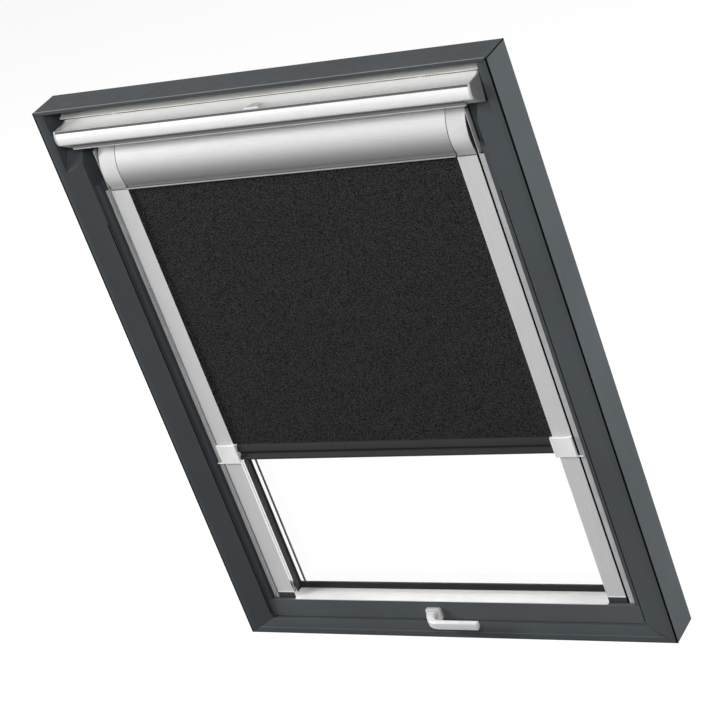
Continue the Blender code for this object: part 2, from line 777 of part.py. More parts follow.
def glass_rebate(name, first_z, last_z):
    """A cutter for the glass edge in the sash head or bottom rail."""
    return block(
        name,
        (at_side(LEFT, REBATE_INSET), at_depth(GLASS_SEAT_DEPTH), first_z),
        (at_side(RIGHT, REBATE_INSET), at_depth(2 * FRAME_DEPTH), last_z),
    )


def glass_edge_rise():
    """Rise of the bottom edge of the rebate."""
    return LEDGE_RISE - GLASS_COVERED_EDGE + SILL_STRIP_BACK_THICKNESS


def glass_edge_drop():
    """Drop of the top edge of the rebate."""
    return HEAD_FOOT_DROP - GLASS_COVERED_EDGE + GLASS_EDGE_GAP


def build_sash_head():
    """The head panel, set back behind the control bar, with a lip over the glass."""
    lip_drop = CASSETTE_DROP + SASH_TOP_GAP
    section = [
        (SASH_DROP, HEAD_SETBACK),
        (SASH_DROP, SASH_BACK_DEPTH),
        (HEAD_FOOT_DROP, SASH_BACK_DEPTH),
        (HEAD_FOOT_DROP, POCKET_DEPTH),
        (lip_drop, POCKET_DEPTH),
        (lip_drop, HEAD_SETBACK),
    ]
    ends = (at_side(LEFT, SASH_INSET), at_side(RIGHT, SASH_INSET))
    head = beam("sash_head", drop_section(section), *ends, "sash_black")
    rebate = glass_rebate("head_rebate", at_drop(glass_edge_drop()), at_drop(2 * HEAD_FOOT_DROP))
    cut(head, rebate)
    return head


def latch_box(grow):
    """Opposite corners of the latch case, or of its pocket when grown."""
    left_reach, right_reach = latch_reach()
    front = CAM_DEPTH - LATCH_RUN_GAP - LATCH_WALL
    back = CAM_DEPTH + CAM_THICKNESS + LATCH_RUN_GAP + LATCH_WALL
    top = HANDLE_AXIS_RISE + right_reach + LATCH_WALL
    low = (HANDLE_OFFSET - left_reach - LATCH_WALL - grow, at_depth(front - grow), SASH_RISE + FIT_GAP)
    high = (HANDLE_OFFSET + right_reach + LATCH_WALL + grow, at_depth(back + grow), top + grow)
    return low, high


def spindle_bore(name, first_depth, last_depth):
    """A cutter that clears the turning spindle."""
    radius = SPINDLE_SIDE / math.sqrt(2) + BORE_GAP
    middle = (HANDLE_OFFSET, at_depth((first_depth + last_depth) / 2), HANDLE_AXIS_RISE)
    return rod(name, radius, middle, last_depth - first_depth, ALONG_Y)


def build_sash_bottom_rail():
    """The bottom rail with the latch pocket, the spindle bore and the glass rebate."""
    section = [
        (SASH_RISE, SASH_SETBACK),
        (LEDGE_RISE, SASH_SETBACK),
        (LEDGE_RISE, SASH_BACK_DEPTH),
        (SASH_RISE, SASH_BACK_DEPTH),
    ]
    ends = (at_side(LEFT, SASH_INSET), at_side(RIGHT, SASH_INSET))
    rail = beam("sash_bottom_rail", rise_section(section), *ends, "frame_grey")
    low, high = latch_box(FIT_GAP)
    pocket = block("latch_pocket", (low[0], low[1], 0.0), high)
    bore = spindle_bore("rail_spindle_bore", 0.0, CAM_DEPTH)
    rebate = glass_rebate("rail_rebate", glass_edge_rise(), 2 * LEDGE_RISE)
    cut(rail, rebate, pocket, bore)
    return rail


def build_pane(name, front_depth):
    """One pane of the double glazing."""
    inset = REBATE_INSET + GLASS_EDGE_GAP
    bottom = glass_edge_rise() + GLASS_EDGE_GAP
    top = at_drop(glass_edge_drop() + GLASS_EDGE_GAP)
    return block(
        name,
        (at_side(LEFT, inset), at_depth(front_depth), bottom),
        (at_side(RIGHT, inset), at_depth(front_depth + PANE_THICKNESS), top),
        "clear_glass",
    )


def build_spacers():
    """The four spacer bars between the panes."""
    outer = REBATE_INSET + 2 * GLASS_EDGE_GAP
    inner = outer + SPACER_WIDTH
    front = at_depth(PANE_FRONT_DEPTH + PANE_THICKNESS + FIT_GAP)
    back = at_depth(OUTER_PANE_DEPTH - FIT_GAP)
    bottom = glass_edge_rise() + 2 * GLASS_EDGE_GAP
    top = at_drop(glass_edge_drop() + 2 * GLASS_EDGE_GAP)
    for side in (LEFT, RIGHT):
        block(
            "spacer_" + SIDE_NAMES[side],
            (at_side(side, outer), front, bottom),
            (at_side(side, inner), back, top),
            "white_plastic",
        )
    ends = (at_side(LEFT, inner + FIT_GAP), at_side(RIGHT, inner + FIT_GAP))
    block("spacer_bottom", (ends[0], front, bottom), (ends[1], back, bottom + SPACER_WIDTH), "white_plastic")
    block("spacer_top", (ends[0], front, top - SPACER_WIDTH), (ends[1], back, top), "white_plastic")


def build_glazing_covers():
    """The four outside covers that hold the glass in."""
    outer = SASH_INSET + GLAZING_COVER_MARGIN
    inner = OPENING_INSET + GLAZING_COVER_LAP
    front = at_depth(FRAME_DEPTH - GLAZING_COVER_THICKNESS)
    back = at_depth(FRAME_DEPTH)
    bottom = SASH_RISE + GLAZING_COVER_MARGIN
    top = at_drop(SASH_DROP + GLAZING_COVER_MARGIN)
    for side in (LEFT, RIGHT):
        block(
            "glazing_cover_" + SIDE_NAMES[side],
            (at_side(side, outer), front, bottom),
            (at_side(side, inner), back, top),
            "frame_grey",
        )
    ends = (at_side(LEFT, inner + FIT_GAP), at_side(RIGHT, inner + FIT_GAP))
    bottom_inner = LEDGE_RISE + SILL_STRIP_BACK_THICKNESS
    top_inner = at_drop(HEAD_FOOT_DROP + GLAZING_COVER_LAP)
    block("glazing_cover_bottom", (ends[0], front, bottom), (ends[1], back, bottom_inner), "frame_grey")
    block("glazing_cover_top", (ends[0], front, top_inner), (ends[1], back, top), "frame_grey")


def sill_strip_top():
    """Rise of the back edge of the sill strip."""
    return LEDGE_RISE + FIT_GAP + SILL_STRIP_BACK_THICKNESS


def rectangle(left, bottom, right, top):
    """A closed loop round a rectangle."""
    return [(left, bottom), (right, bottom), (right, top), (left, top)]


def build_glazing_gasket():
    """The gasket frame that the inner pane is seated on."""
    inset = OPENING_INSET + FIT_GAP
    bottom = sill_strip_top() + FIT_GAP
    top = at_drop(HEAD_FOOT_DROP + FIT_GAP)
    left, right = at_side(LEFT, inset), at_side(RIGHT, inset)
    outer = rectangle(left, bottom, right, top)
    inner = rectangle(
        left + GASKET_SIDE_WIDTH,
        bottom + GASKET_BOTTOM_WIDTH,
        right - GASKET_SIDE_WIDTH,
        top - GASKET_SIDE_WIDTH,
    )
    back = GLASS_SEAT_DEPTH
    return plate("glazing_gasket", [outer, inner], back - GASKET_THICKNESS, back, "black_rubber")


def build_sill_strip():
    """The pale strip on the ledge of the bottom rail, a little higher at the back."""
    base = LEDGE_RISE + FIT_GAP
    front = SASH_SETBACK + SILL_STRIP_NOSING
    section = [
        (base, front),
        (base + SILL_STRIP_FRONT_THICKNESS, front),
        (sill_strip_top(), front + SILL_STRIP_DEPTH),
        (base, front + SILL_STRIP_DEPTH),
    ]
    inset = OPENING_INSET + FIT_GAP
    ends = (at_side(LEFT, inset), at_side(RIGHT, inset))
    return beam("sill_strip", rise_section(section), *ends, "white_plastic")


def build_vent_strip():
    """The strip over the control bar: a foot on the head panel and a leaning blade."""
    top = SASH_DROP + VENT_STRIP_TOP_GAP
    back = HEAD_SETBACK - FIT_GAP
    tip_drop = SASH_DROP + VENT_STRIP_TIP_DROP + VENT_STRIP_TOP_GAP
    section = [
        (tip_drop, VENT_STRIP_TIP_DEPTH),
        (top + VENT_STRIP_FOOT_HEIGHT - VENT_STRIP_THICKNESS, back - VENT_STRIP_FOOT_DEPTH),
        (top, back - VENT_STRIP_FOOT_DEPTH),
        (top, back),
        (top + VENT_STRIP_FOOT_HEIGHT, back),
        (tip_drop + VENT_STRIP_THICKNESS, VENT_STRIP_TIP_DEPTH + VENT_STRIP_THICKNESS),
    ]
    ends = (at_side(LEFT, VENT_STRIP_INSET), at_side(RIGHT, VENT_STRIP_INSET))
    return beam("vent_strip", drop_section(section), *ends, "vent_beige")


# Control bar and its hinges

def bar_point(place):
    """World (y, z) of a place given as drop and depth from the bar hinge axis."""
    return at_depth(BAR_AXIS_DEPTH + place[1]), at_drop(BAR_AXIS_DROP + place[0])


def bar_section(wall=0.0):
    """Outline of the control bar, or of its bore when it is drawn in by a wall.

    The top is hollow, the nose is round and the back and underside are flat.
    """
    places = (BAR_BACK_TOP, BAR_FRONT_TOP, BAR_NOSE_TOP, BAR_FRONT_BOTTOM, BAR_BACK_BOTTOM)
    corners = [bar_point(place) for place in places]
    if wall:
        corners = inner_loop(corners, wall)
    back_top, front_top, nose_top, front_bottom, back_bottom = corners
    trough = arc_between(back_top, front_top, BAR_TROUGH_SAG)
    nose = arc_between(nose_top, front_bottom, -BAR_NOSE_BULGE)
    return trough + nose + [back_bottom]


def hinge_plate(name, first_x, last_x, nose_start, foot, finish):
    """A plate half round the bar hinge axis, with a foot at (drop, depth) places from it."""
    axis = bar_point((0.0, 0.0))
    nose = round_arc(axis, BRACKET_NOSE_RADIUS, nose_start, nose_start + 180.0)
    return beam(name, nose + [bar_point(place) for place in foot], first_x, last_x, finish)


def bracket_x(side):
    """World x of the inner and outer face of a bar bracket."""
    middle = WINDOW_WIDTH / 2 - BRACKET_INSET
    return side * (middle - BRACKET_THICKNESS / 2), side * (middle + BRACKET_THICKNESS / 2)


def lug_x(side):
    """World x of the inner and outer face of a bar lug, outside its bracket."""
    inner = bracket_x(side)[1] + side * LUG_GAP
    return inner, inner + side * LUG_THICKNESS


def hinge_bore(name, first_x, last_x):
    """A cutter for the bar pin."""
    axis = bar_point((0.0, 0.0))
    middle = ((first_x + last_x) / 2, axis[0], axis[1])
    length = 2 * abs(last_x - first_x)
    return rod(name, BAR_PIN_RADIUS + BORE_GAP, middle, length, AXLE_ALONG_X)


def build_bar_bracket(side):
    """The bracket on the sash head that carries one bar hinge."""
    faces = bracket_x(side)
    name = "bar_bracket_" + SIDE_NAMES[side]
    foot_depth = HEAD_SETBACK - FIT_GAP - BAR_AXIS_DEPTH
    half_foot = BRACKET_FOOT_HEIGHT / 2
    foot = [(half_foot, foot_depth), (-half_foot, foot_depth)]
    bracket = hinge_plate(name, *faces, 90.0, foot, "steel")
    cut(bracket, hinge_bore(name + "_bore", *faces))
    return bracket


def build_bar_pin(side):
    """The pin through a bracket and the lug beside it."""
    inner = bracket_x(side)[0] - side * BAR_PIN_HEAD
    outer = lug_x(side)[1] + side * BAR_PIN_HEAD
    axis = bar_point((0.0, 0.0))
    middle = ((inner + outer) / 2, axis[0], axis[1])
    name = "bar_pin_" + SIDE_NAMES[side]
    return rod(name, BAR_PIN_RADIUS, middle, abs(outer - inner), AXLE_ALONG_X, "steel")


def build_control_bar():
    """The hollow bar with a lug at each hinge."""
    inset = BAR_INSET + BAR_END_THICKNESS + FIT_GAP
    ends = (at_side(LEFT, inset), at_side(RIGHT, inset))
    bar = beam("control_bar", bar_section(), *ends, "satin_aluminium", hole=bar_section(BAR_WALL))
    foot = [
        (BAR_BACK_TOP[0] + BAR_WALL / 2, BAR_BACK_TOP[1] - BAR_WALL / 2),
        (BRACKET_NOSE_RADIUS, BAR_BACK_TOP[1] - BAR_WALL),
    ]
    for side in (LEFT, RIGHT):
        name = "bar_lug_" + SIDE_NAMES[side]
        lug = hinge_plate(name, *lug_x(side), -90.0, foot, None)
        join(bar, lug)
        cut(bar, hinge_bore(name + "_bore", *lug_x(side)))
    smooth(bar)
    return bar


def build_bar_end(side):
    """The cap on one end of the control bar."""
    outer = at_side(side, BAR_INSET)
    inner = at_side(side, BAR_INSET + BAR_END_THICKNESS)
    name = "control_bar_end_" + SIDE_NAMES[side]
    return beam(name, bar_section(), outer, inner, "satin_aluminium")


def underside_place(share):
    """A place a gap below the underside of the bar, at a share of the way to its back."""
    drop = BAR_FRONT_BOTTOM[0] + (BAR_BACK_BOTTOM[0] - BAR_FRONT_BOTTOM[0]) * share
    depth = BAR_FRONT_BOTTOM[1] + (BAR_BACK_BOTTOM[1] - BAR_FRONT_BOTTOM[1]) * share
    return drop + 2 * FIT_GAP, depth


def build_bar_lip():
    """The strip under the bar, a little shorter than the bar."""
    places = (
        underside_place(BAR_LIP_START),
        BAR_LIP_FRONT_FOOT,
        BAR_LIP_BACK_FOOT,
        underside_place(BAR_LIP_END),
    )
    inset = BAR_INSET + BAR_LIP_INSET
    ends = (at_side(LEFT, inset), at_side(RIGHT, inset))
    return beam("control_bar_lip", [bar_point(place) for place in places], *ends, "satin_aluminium")


def build_bar_catch():
    """The small wedge-shaped catch that lies in the hollow of the bar."""
    trough = arc_between(
        bar_point(BAR_BACK_TOP), bar_point(BAR_FRONT_TOP), BAR_TROUGH_SAG - FIT_GAP
    )
    front_y = bar_point(BAR_FRONT_TOP)[0] + CATCH_FRONT_SETBACK
    back_y = bar_point(BAR_FRONT_TOP)[0] + CATCH_BACK_SETBACK
    base = [point for point in trough if front_y <= point[0] <= back_y]
    top = [(y, z + CATCH_THICKNESS) for y, z in reversed(base)]
    half_front = CATCH_FRONT_WIDTH / 2
    catch = beam("control_bar_catch", base + top, -half_front, half_front, "satin_aluminium")
    taper = (CATCH_FRONT_WIDTH - CATCH_BACK_WIDTH) / 2
    run = CATCH_BACK_SETBACK - CATCH_FRONT_SETBACK
    for side in (LEFT, RIGHT):
        corner = (side * half_front, front_y, at_drop(BAR_AXIS_DROP))
        trim(catch, corner, Vector((side * run, taper, 0.0)).normalized())
    return catch


# Blind rails and cassette

def build_guide_rail(side):
    """A guide rail with a slot for the cloth edge and the slider tongue."""
    slot_front = CLOTH_DEPTH - RAIL_SLOT_WIDTH / 2
    slot_back = CLOTH_DEPTH + RAIL_SLOT_WIDTH / 2
    section = [
        (RAIL_OUTER_INSET, RAIL_FRONT_DEPTH),
        (OPENING_INSET, RAIL_FRONT_DEPTH),
        (OPENING_INSET, slot_front),
        (SLOT_BOTTOM_INSET, slot_front),
        (SLOT_BOTTOM_INSET, slot_back),
        (OPENING_INSET, slot_back),
        (OPENING_INSET, RAIL_BACK_DEPTH),
        (RAIL_OUTER_INSET, RAIL_BACK_DEPTH),
    ]
    bottom = RAIL_FOOT_RISE + FIT_GAP
    top = at_drop(CASSETTE_FOOT_DROP + FIT_GAP)
    return post("guide_rail_" + SIDE_NAMES[side], side_section(side, section), bottom, top, "rail_grey")


def build_rail_end(side):
    """The foot piece under a guide rail."""
    loop = rectangle(
        at_side(side, RAIL_OUTER_INSET),
        LEDGE_RISE + FIT_GAP,
        at_side(side, OPENING_INSET),
        RAIL_FOOT_RISE,
    )
    return plate("rail_end_" + SIDE_NAMES[side], [loop], RAIL_FRONT_DEPTH, RAIL_BACK_DEPTH, "bar_black")


def build_side_strip(side):
    """The thin L-shaped strip between a guide rail and the sash lip."""
    front = RAIL_FRONT_DEPTH + FLANGE_SETBACK
    section = [
        (FLANGE_OUTER_INSET, front),
        (FLANGE_INNER_INSET, front),
        (FLANGE_INNER_INSET, RAIL_BACK_DEPTH),
        (FLANGE_INNER_INSET - FLANGE_THICKNESS, RAIL_BACK_DEPTH),
        (FLANGE_INNER_INSET - FLANGE_THICKNESS, front + FLANGE_THICKNESS),
        (FLANGE_OUTER_INSET, front + FLANGE_THICKNESS),
    ]
    bottom = LEDGE_RISE + FIT_GAP
    top = at_drop(CASSETTE_DROP + FLANGE_TOP_GAP)
    return post("side_strip_" + SIDE_NAMES[side], side_section(side, section), bottom, top, "rail_grey")


def cassette_curve():
    """Front curve of the cassette from its top to its lip, as (drop, depth) points."""
    centre_drop = CASSETTE_DROP + CASSETTE_CURVE_HEIGHT
    centre_depth = CASSETTE_FRONT_DEPTH + CASSETTE_CURVE_RADIUS
    lip_drop = CASSETTE_FOOT_DROP - CASSETTE_LIP_HEIGHT
    points = []
    for step in range(ARC_STEPS + 1):
        drop = CASSETTE_DROP + (lip_drop - CASSETTE_DROP) * step / ARC_STEPS
        reach = math.sqrt(CASSETTE_CURVE_RADIUS**2 - (drop - centre_drop) ** 2)
        points.append((drop, centre_depth - reach))
    return points


def cassette_outline():
    """Closed outline of the cassette, as (drop, depth) points."""
    curve = cassette_curve()
    return [(CASSETTE_DROP, CASSETTE_BACK_DEPTH)] + curve + [
        (CASSETTE_FOOT_DROP, curve[-1][1]),
        (CASSETTE_FOOT_DROP, CASSETTE_BACK_DEPTH),
    ]


def build_cassette_shell():
    """The shell over the roller, open along the slot that the cloth leaves by."""
    outline = cassette_outline()
    slot_front = CLOTH_DEPTH - CASSETTE_SLOT / 2
    slot_back = CLOTH_DEPTH + CASSETTE_SLOT / 2
    path = [(CASSETTE_FOOT_DROP, slot_back)]
    path += [outline[-1]] + outline[:-1]
    path += [(CASSETTE_FOOT_DROP, slot_front)]
    inset = OPENING_INSET
    ends = (at_side(LEFT, inset), at_side(RIGHT, inset))
    shell = beam("cassette_shell", drop_section(path), *ends, "satin_aluminium", filled=False)
    solidify = shell.modifiers.new("wall", "SOLIDIFY")
    solidify.thickness = CASSETTE_WALL
    solidify.offset = -1.0
    solidify.use_even_offset = True
    smooth(shell)
    return shell


def build_cassette_cap(side):
    """The end cup of the cassette, open inward, with a slot for the cloth edge."""
    outline = drop_section(cassette_outline())
    outer = at_side(side, CAP_OUTER_INSET)
    inner = at_side(side, OPENING_INSET - FIT_GAP)
    name = "cassette_cap_" + SIDE_NAMES[side]
    cap = beam(name, outline, outer, inner, "satin_aluminium")
    hollow = beam(
        name + "_hollow",
        inner_loop(outline, CASSETTE_WALL),
        outer - side * CASSETTE_WALL,
        inner - side * CASSETTE_WALL,
        None,
    )
    slot = block(
        name + "_slot",
        (
            at_side(side, SLOT_BOTTOM_INSET),
            at_depth(CLOTH_DEPTH - CASSETTE_SLOT / 2),
            at_drop(CASSETTE_FOOT_DROP + CASSETTE_WALL),
        ),
        (
            inner - side * CASSETTE_WALL,
            at_depth(CLOTH_DEPTH + CASSETTE_SLOT / 2),
            at_drop(CASSETTE_FOOT_DROP - 2 * CASSETTE_WALL),
        ),
    )
    bore = rod(
        name + "_pin_bore",
        ROLLER_PIN_RADIUS + BORE_GAP,
        (outer, at_depth(ROLLER_DEPTH), at_drop(ROLLER_AXIS_DROP)),
        4 * CASSETTE_WALL,
        AXLE_ALONG_X,
    )
    cut(cap, hollow, slot, bore)
    return cap


# Roller, cloth and bottom bar

def roller_place(side, inset):
    """World place on the roller axis."""
    return at_side(side, inset), at_depth(ROLLER_DEPTH), at_drop(ROLLER_AXIS_DROP)


def build_roller_pin(side):
    """The fixed pin in a cassette cap that the roller plug turns on."""
    start = CAP_OUTER_INSET + FIT_GAP
    name = "roller_pin_" + SIDE_NAMES[side]
    middle = roller_place(side, start + ROLLER_PIN_LENGTH / 2)
    return rod(name, ROLLER_PIN_RADIUS, middle, ROLLER_PIN_LENGTH, AXLE_ALONG_X, "steel")


def tube_profile(outer, inner, half_length):
    """Closed profile of a plain tube, down its outside and up its bore."""
    return [
        (inner, half_length),
        (outer, half_length),
        (outer, -half_length),
        (inner, -half_length),
        (inner, half_length),
    ]


def build_roller_tube():
    """The aluminium tube that the cloth winds on."""
    half = WINDOW_WIDTH / 2 - CLOTH_INSET
    profile = tube_profile(ROLLER_TUBE_RADIUS, ROLLER_TUBE_RADIUS - ROLLER_TUBE_WALL, half)
    middle = (0.0, at_depth(ROLLER_DEPTH), at_drop(ROLLER_AXIS_DROP))
    return turned("roller_tube", profile, middle, AXLE_ALONG_X, "satin_aluminium")


def build_cloth_roll():
    """The cloth that is still wound on the tube."""
    half = WINDOW_WIDTH / 2 - CLOTH_INSET
    profile = tube_profile(WOUND_CLOTH_RADIUS, ROLLER_TUBE_RADIUS + FIT_GAP, half)
    middle = (0.0, at_depth(ROLLER_DEPTH), at_drop(ROLLER_AXIS_DROP))
    return turned("fabric_roll", profile, middle, AXLE_ALONG_X, "black_cloth")


def build_roller_plug(side):
    """The end plug of the tube: a flange, a spigot and a bore for the pin."""
    bore = ROLLER_PIN_RADIUS + BORE_GAP
    spigot = ROLLER_TUBE_RADIUS - ROLLER_TUBE_WALL - FIT_GAP
    pin_end = CAP_OUTER_INSET + FIT_GAP + ROLLER_PIN_LENGTH
    flange_inset = CLOTH_INSET - FIT_GAP - ROLLER_PLUG_FLANGE
    bore_depth = pin_end + FIT_GAP - flange_inset
    profile = [
        (0.0, -bore_depth),
        (bore, -bore_depth),
        (bore, 0.0),
        (ROLLER_PLUG_RADIUS, 0.0),
        (ROLLER_PLUG_RADIUS, -ROLLER_PLUG_FLANGE),
        (spigot, -ROLLER_PLUG_FLANGE),
        (spigot, -ROLLER_PLUG_LENGTH),
        (0.0, -ROLLER_PLUG_LENGTH),
    ]
    rotation = (0.0, side * math.pi / 2, 0.0)
    name = "roller_plug_" + SIDE_NAMES[side]
    return turned(name, profile, roller_place(side, flange_inset), rotation, "white_plastic")


def build_fabric():
    """The cloth that hangs from the cassette slot to the bottom bar."""
    bottom = BOTTOM_BAR_TOP + FIT_GAP
    top = at_drop(CASSETTE_FOOT_DROP - CLOTH_RISE_IN_CASSETTE)
    return block(
        "fabric",
        (at_side(LEFT, CLOTH_INSET), at_depth(CLOTH_DEPTH - CLOTH_THICKNESS / 2), bottom),
        (at_side(RIGHT, CLOTH_INSET), at_depth(CLOTH_DEPTH + CLOTH_THICKNESS / 2), top),
        "black_cloth",
    )


def build_bottom_bar():
    """The bar along the foot of the cloth, hollowed along its front."""
    low, high = BOTTOM_BAR_RISE, BOTTOM_BAR_TOP
    front = at_depth(BOTTOM_BAR_FRONT_DEPTH)
    back = at_depth(BOTTOM_BAR_FRONT_DEPTH + BOTTOM_BAR_DEPTH)
    hollow = arc_between((front, low + BOTTOM_BAR_LIP), (front, high - BOTTOM_BAR_LIP), -BOTTOM_BAR_HOLLOW)
    section = [(back, low), (front, low)] + hollow + [(front, high), (back, high)]
    inset = OPENING_INSET + SLIDER_OVERLAP + FIT_GAP
    ends = (at_side(LEFT, inset), at_side(RIGHT, inset))
    bar = beam("bottom_bar", section, *ends, "bar_black")
    smooth(bar)
    return bar


def build_slider(side):
    """The slider on one end of the bottom bar, with a tongue in the rail slot."""
    inner = OPENING_INSET + SLIDER_OVERLAP
    edge = OPENING_INSET + FIT_GAP
    front_back = RAIL_FRONT_DEPTH - SLIDE_GAP
    tongue_front = CLOTH_DEPTH - SLIDER_TONGUE_THICKNESS / 2
    tongue_back = CLOTH_DEPTH + SLIDER_TONGUE_THICKNESS / 2
    back = BOTTOM_BAR_FRONT_DEPTH + BOTTOM_BAR_DEPTH
    section = [
        (RAIL_OUTER_INSET - SLIDER_OVERHANG, front_back - SLIDER_FRONT_THICKNESS),
        (inner, front_back - SLIDER_FRONT_THICKNESS),
        (inner, back),
        (edge, back),
        (edge, tongue_back),
        (edge - SLIDER_TONGUE_LENGTH, tongue_back),
        (edge - SLIDER_TONGUE_LENGTH, tongue_front),
        (edge, tongue_front),
        (edge, front_back),
        (RAIL_OUTER_INSET - SLIDER_OVERHANG, front_back),
    ]
    name = "slider_" + SIDE_NAMES[side]
    bottom = BOTTOM_BAR_RISE - SLIDER_BOTTOM_MARGIN
    top = BOTTOM_BAR_TOP + SLIDER_TOP_MARGIN
    slider = post(name, side_section(side, section), bottom, top, "white_plastic")
    cloth_space = block(
        name + "_cloth_space",
        (at_side(side, RAIL_OUTER_INSET), at_depth(front_back + SLIDE_GAP), BOTTOM_BAR_TOP - FIT_GAP),
        (at_side(side, inner + SLIDER_OVERLAP), at_depth(2 * back), top + SLIDER_TOP_MARGIN),
    )
    cut(slider, cloth_space)
    return slider


# Handle and latch

def build_handle_rose():
    """The base plate of the handle on the face of the bottom rail."""
    left = HANDLE_OFFSET - ROSE_WIDTH / 2
    bottom = HANDLE_AXIS_RISE - ROSE_HEIGHT / 2
    loop = rounded_rectangle(left, bottom, left + ROSE_WIDTH, bottom + ROSE_HEIGHT, ROSE_CORNER)
    back = SASH_SETBACK - FIT_GAP
    rose = plate("handle_rose", [loop], back - ROSE_THICKNESS, back, "satin_aluminium")
    cut(rose, spindle_bore("rose_bore", -ROSE_THICKNESS, SASH_SETBACK + ROSE_THICKNESS))
    return rose


def rounded_rectangle(left, bottom, right, top, corner):
    """A closed loop round a rectangle with round corners."""
    loop = []
    for centre, first in (
        ((right - corner, top - corner), 0.0),
        ((left + corner, top - corner), 90.0),
        ((left + corner, bottom + corner), 180.0),
        ((right - corner, bottom + corner), 270.0),
    ):
        loop += round_arc(centre, corner, first, first + 90.0, steps=4)
    return loop


def lever_depths():
    """Depths of the front and back of the lever."""
    back = SASH_SETBACK - FIT_GAP - ROSE_THICKNESS - FIT_GAP - NECK_LENGTH
    return back - LEVER_THICKNESS, back


def build_handle_lever():
    """The lever with its flared neck, bored for the square spindle."""
    front, back = lever_depths()
    left = HANDLE_OFFSET + LEVER_OFFSET
    middle_z = HANDLE_AXIS_RISE
    half = LEVER_HEIGHT / 2
    heel = round_arc((left + half, middle_z), half, 90.0, 270.0)
    toe = left + LEVER_LENGTH
    loop = heel + [(toe, middle_z - half), (toe, middle_z + half)]
    lever = plate("handle_lever", [loop], front, back, "satin_aluminium")
    round_edges(lever, LEVER_ROUNDING)
    neck_section = [
        (HANDLE_OFFSET + across, at_depth(back + NECK_LENGTH - out)) for across, out in NECK_OUTLINE
    ]
    neck_low = HANDLE_AXIS_RISE - NECK_HEIGHT / 2
    neck = post("handle_neck", neck_section, neck_low, neck_low + NECK_HEIGHT, None)
    socket_side = SPINDLE_SIDE + 2 * FIT_GAP
    socket = block(
        "handle_socket",
        (
            HANDLE_OFFSET - socket_side / 2,
            at_depth(back + NECK_LENGTH - SPINDLE_SOCKET - FIT_GAP),
            HANDLE_AXIS_RISE - socket_side / 2,
        ),
        (
            HANDLE_OFFSET + socket_side / 2,
            at_depth(back + NECK_LENGTH + SPINDLE_SOCKET),
            HANDLE_AXIS_RISE + socket_side / 2,
        ),
    )
    join(lever, neck)
    cut(lever, socket)
    return lever


def build_handle_spindle():
    """The square bar from the handle to the cam."""
    half = SPINDLE_SIDE / 2
    start = lever_depths()[1] + NECK_LENGTH - SPINDLE_SOCKET
    return block(
        "handle_spindle",
        (HANDLE_OFFSET - half, at_depth(start), HANDLE_AXIS_RISE - half),
        (HANDLE_OFFSET + half, at_depth(CAM_DEPTH + CAM_THICKNESS), HANDLE_AXIS_RISE + half),
        "steel",
    )


def build_latch_cam():
    """The cam on the spindle: it points sideways when the sash is free."""
    centre = (HANDLE_OFFSET, HANDLE_AXIS_RISE)
    half_arm = CAM_ARM_WIDTH / 2
    open_angle = math.degrees(math.asin(half_arm / CAM_BOSS_RADIUS))
    boss = round_arc(centre, CAM_BOSS_RADIUS, 180.0 + open_angle, 540.0 - open_angle, steps=24)
    tip_x = HANDLE_OFFSET - CAM_LENGTH + half_arm / 2
    tip = [
        (tip_x, HANDLE_AXIS_RISE + half_arm),
        (HANDLE_OFFSET - CAM_LENGTH, HANDLE_AXIS_RISE + half_arm / 2),
        (HANDLE_OFFSET - CAM_LENGTH, HANDLE_AXIS_RISE - half_arm / 2),
        (tip_x, HANDLE_AXIS_RISE - half_arm),
    ]
    half = SPINDLE_SIDE / 2 + FIT_GAP
    hole = rectangle(centre[0] - half, centre[1] - half, centre[0] + half, centre[1] + half)
    return plate("latch_cam", [boss + tip, hole], CAM_DEPTH, CAM_DEPTH + CAM_THICKNESS, "steel")


def build_latch_case():
    """The steel case round the cam, open at the bottom."""
    low, high = latch_box(0.0)
    case = block("latch_case", low, high, "steel")
    room = block(
        "latch_room",
        (low[0] + LATCH_WALL, low[1] + LATCH_WALL, 0.0),
        (high[0] - LATCH_WALL, high[1] - LATCH_WALL, high[2] - LATCH_WALL),
    )
    cut(case, room, spindle_bore("case_bore", 0.0, CAM_DEPTH))
    return case


# Joints

def joint_empty(name, place, parent=None):
    """An empty on a joint's axis, which carries the pieces that move with it."""
    empty = bpy.data.objects.new(name, None)
    empty.empty_display_size = 0.03
    PARTS.objects.link(empty)
    hang(empty, place, parent)
    return empty


def hang(obj, place, parent):
    """Hang an object on a parent and keep it at a world place."""
    origin = Vector((0.0, 0.0, 0.0)) if parent is None else world_place(parent)
    obj.parent = parent
    obj.location = Vector(place) - origin


def world_place(obj):
    """World place of an object whose parents are unturned."""
    place = obj.location.copy()
    while obj.parent is not None:
        obj = obj.parent
        place += obj.location
    return place


def carry(empty, *pieces):
    """Hang pieces and their cutters on a joint's empty, where they are."""
    for piece in pieces:
        tools = [modifier.object for modifier in piece.modifiers if modifier.type == "BOOLEAN"]
        for obj in [piece] + tools:
            hang(obj, obj.location.copy(), empty)


def pieces_named(*names):
    """Find built pieces by name."""
    return [PARTS.objects[name] for name in names]


def both(stem):
    """The left and right names of a paired piece."""
    return [stem + "_" + SIDE_NAMES[side] for side in (LEFT, RIGHT)]


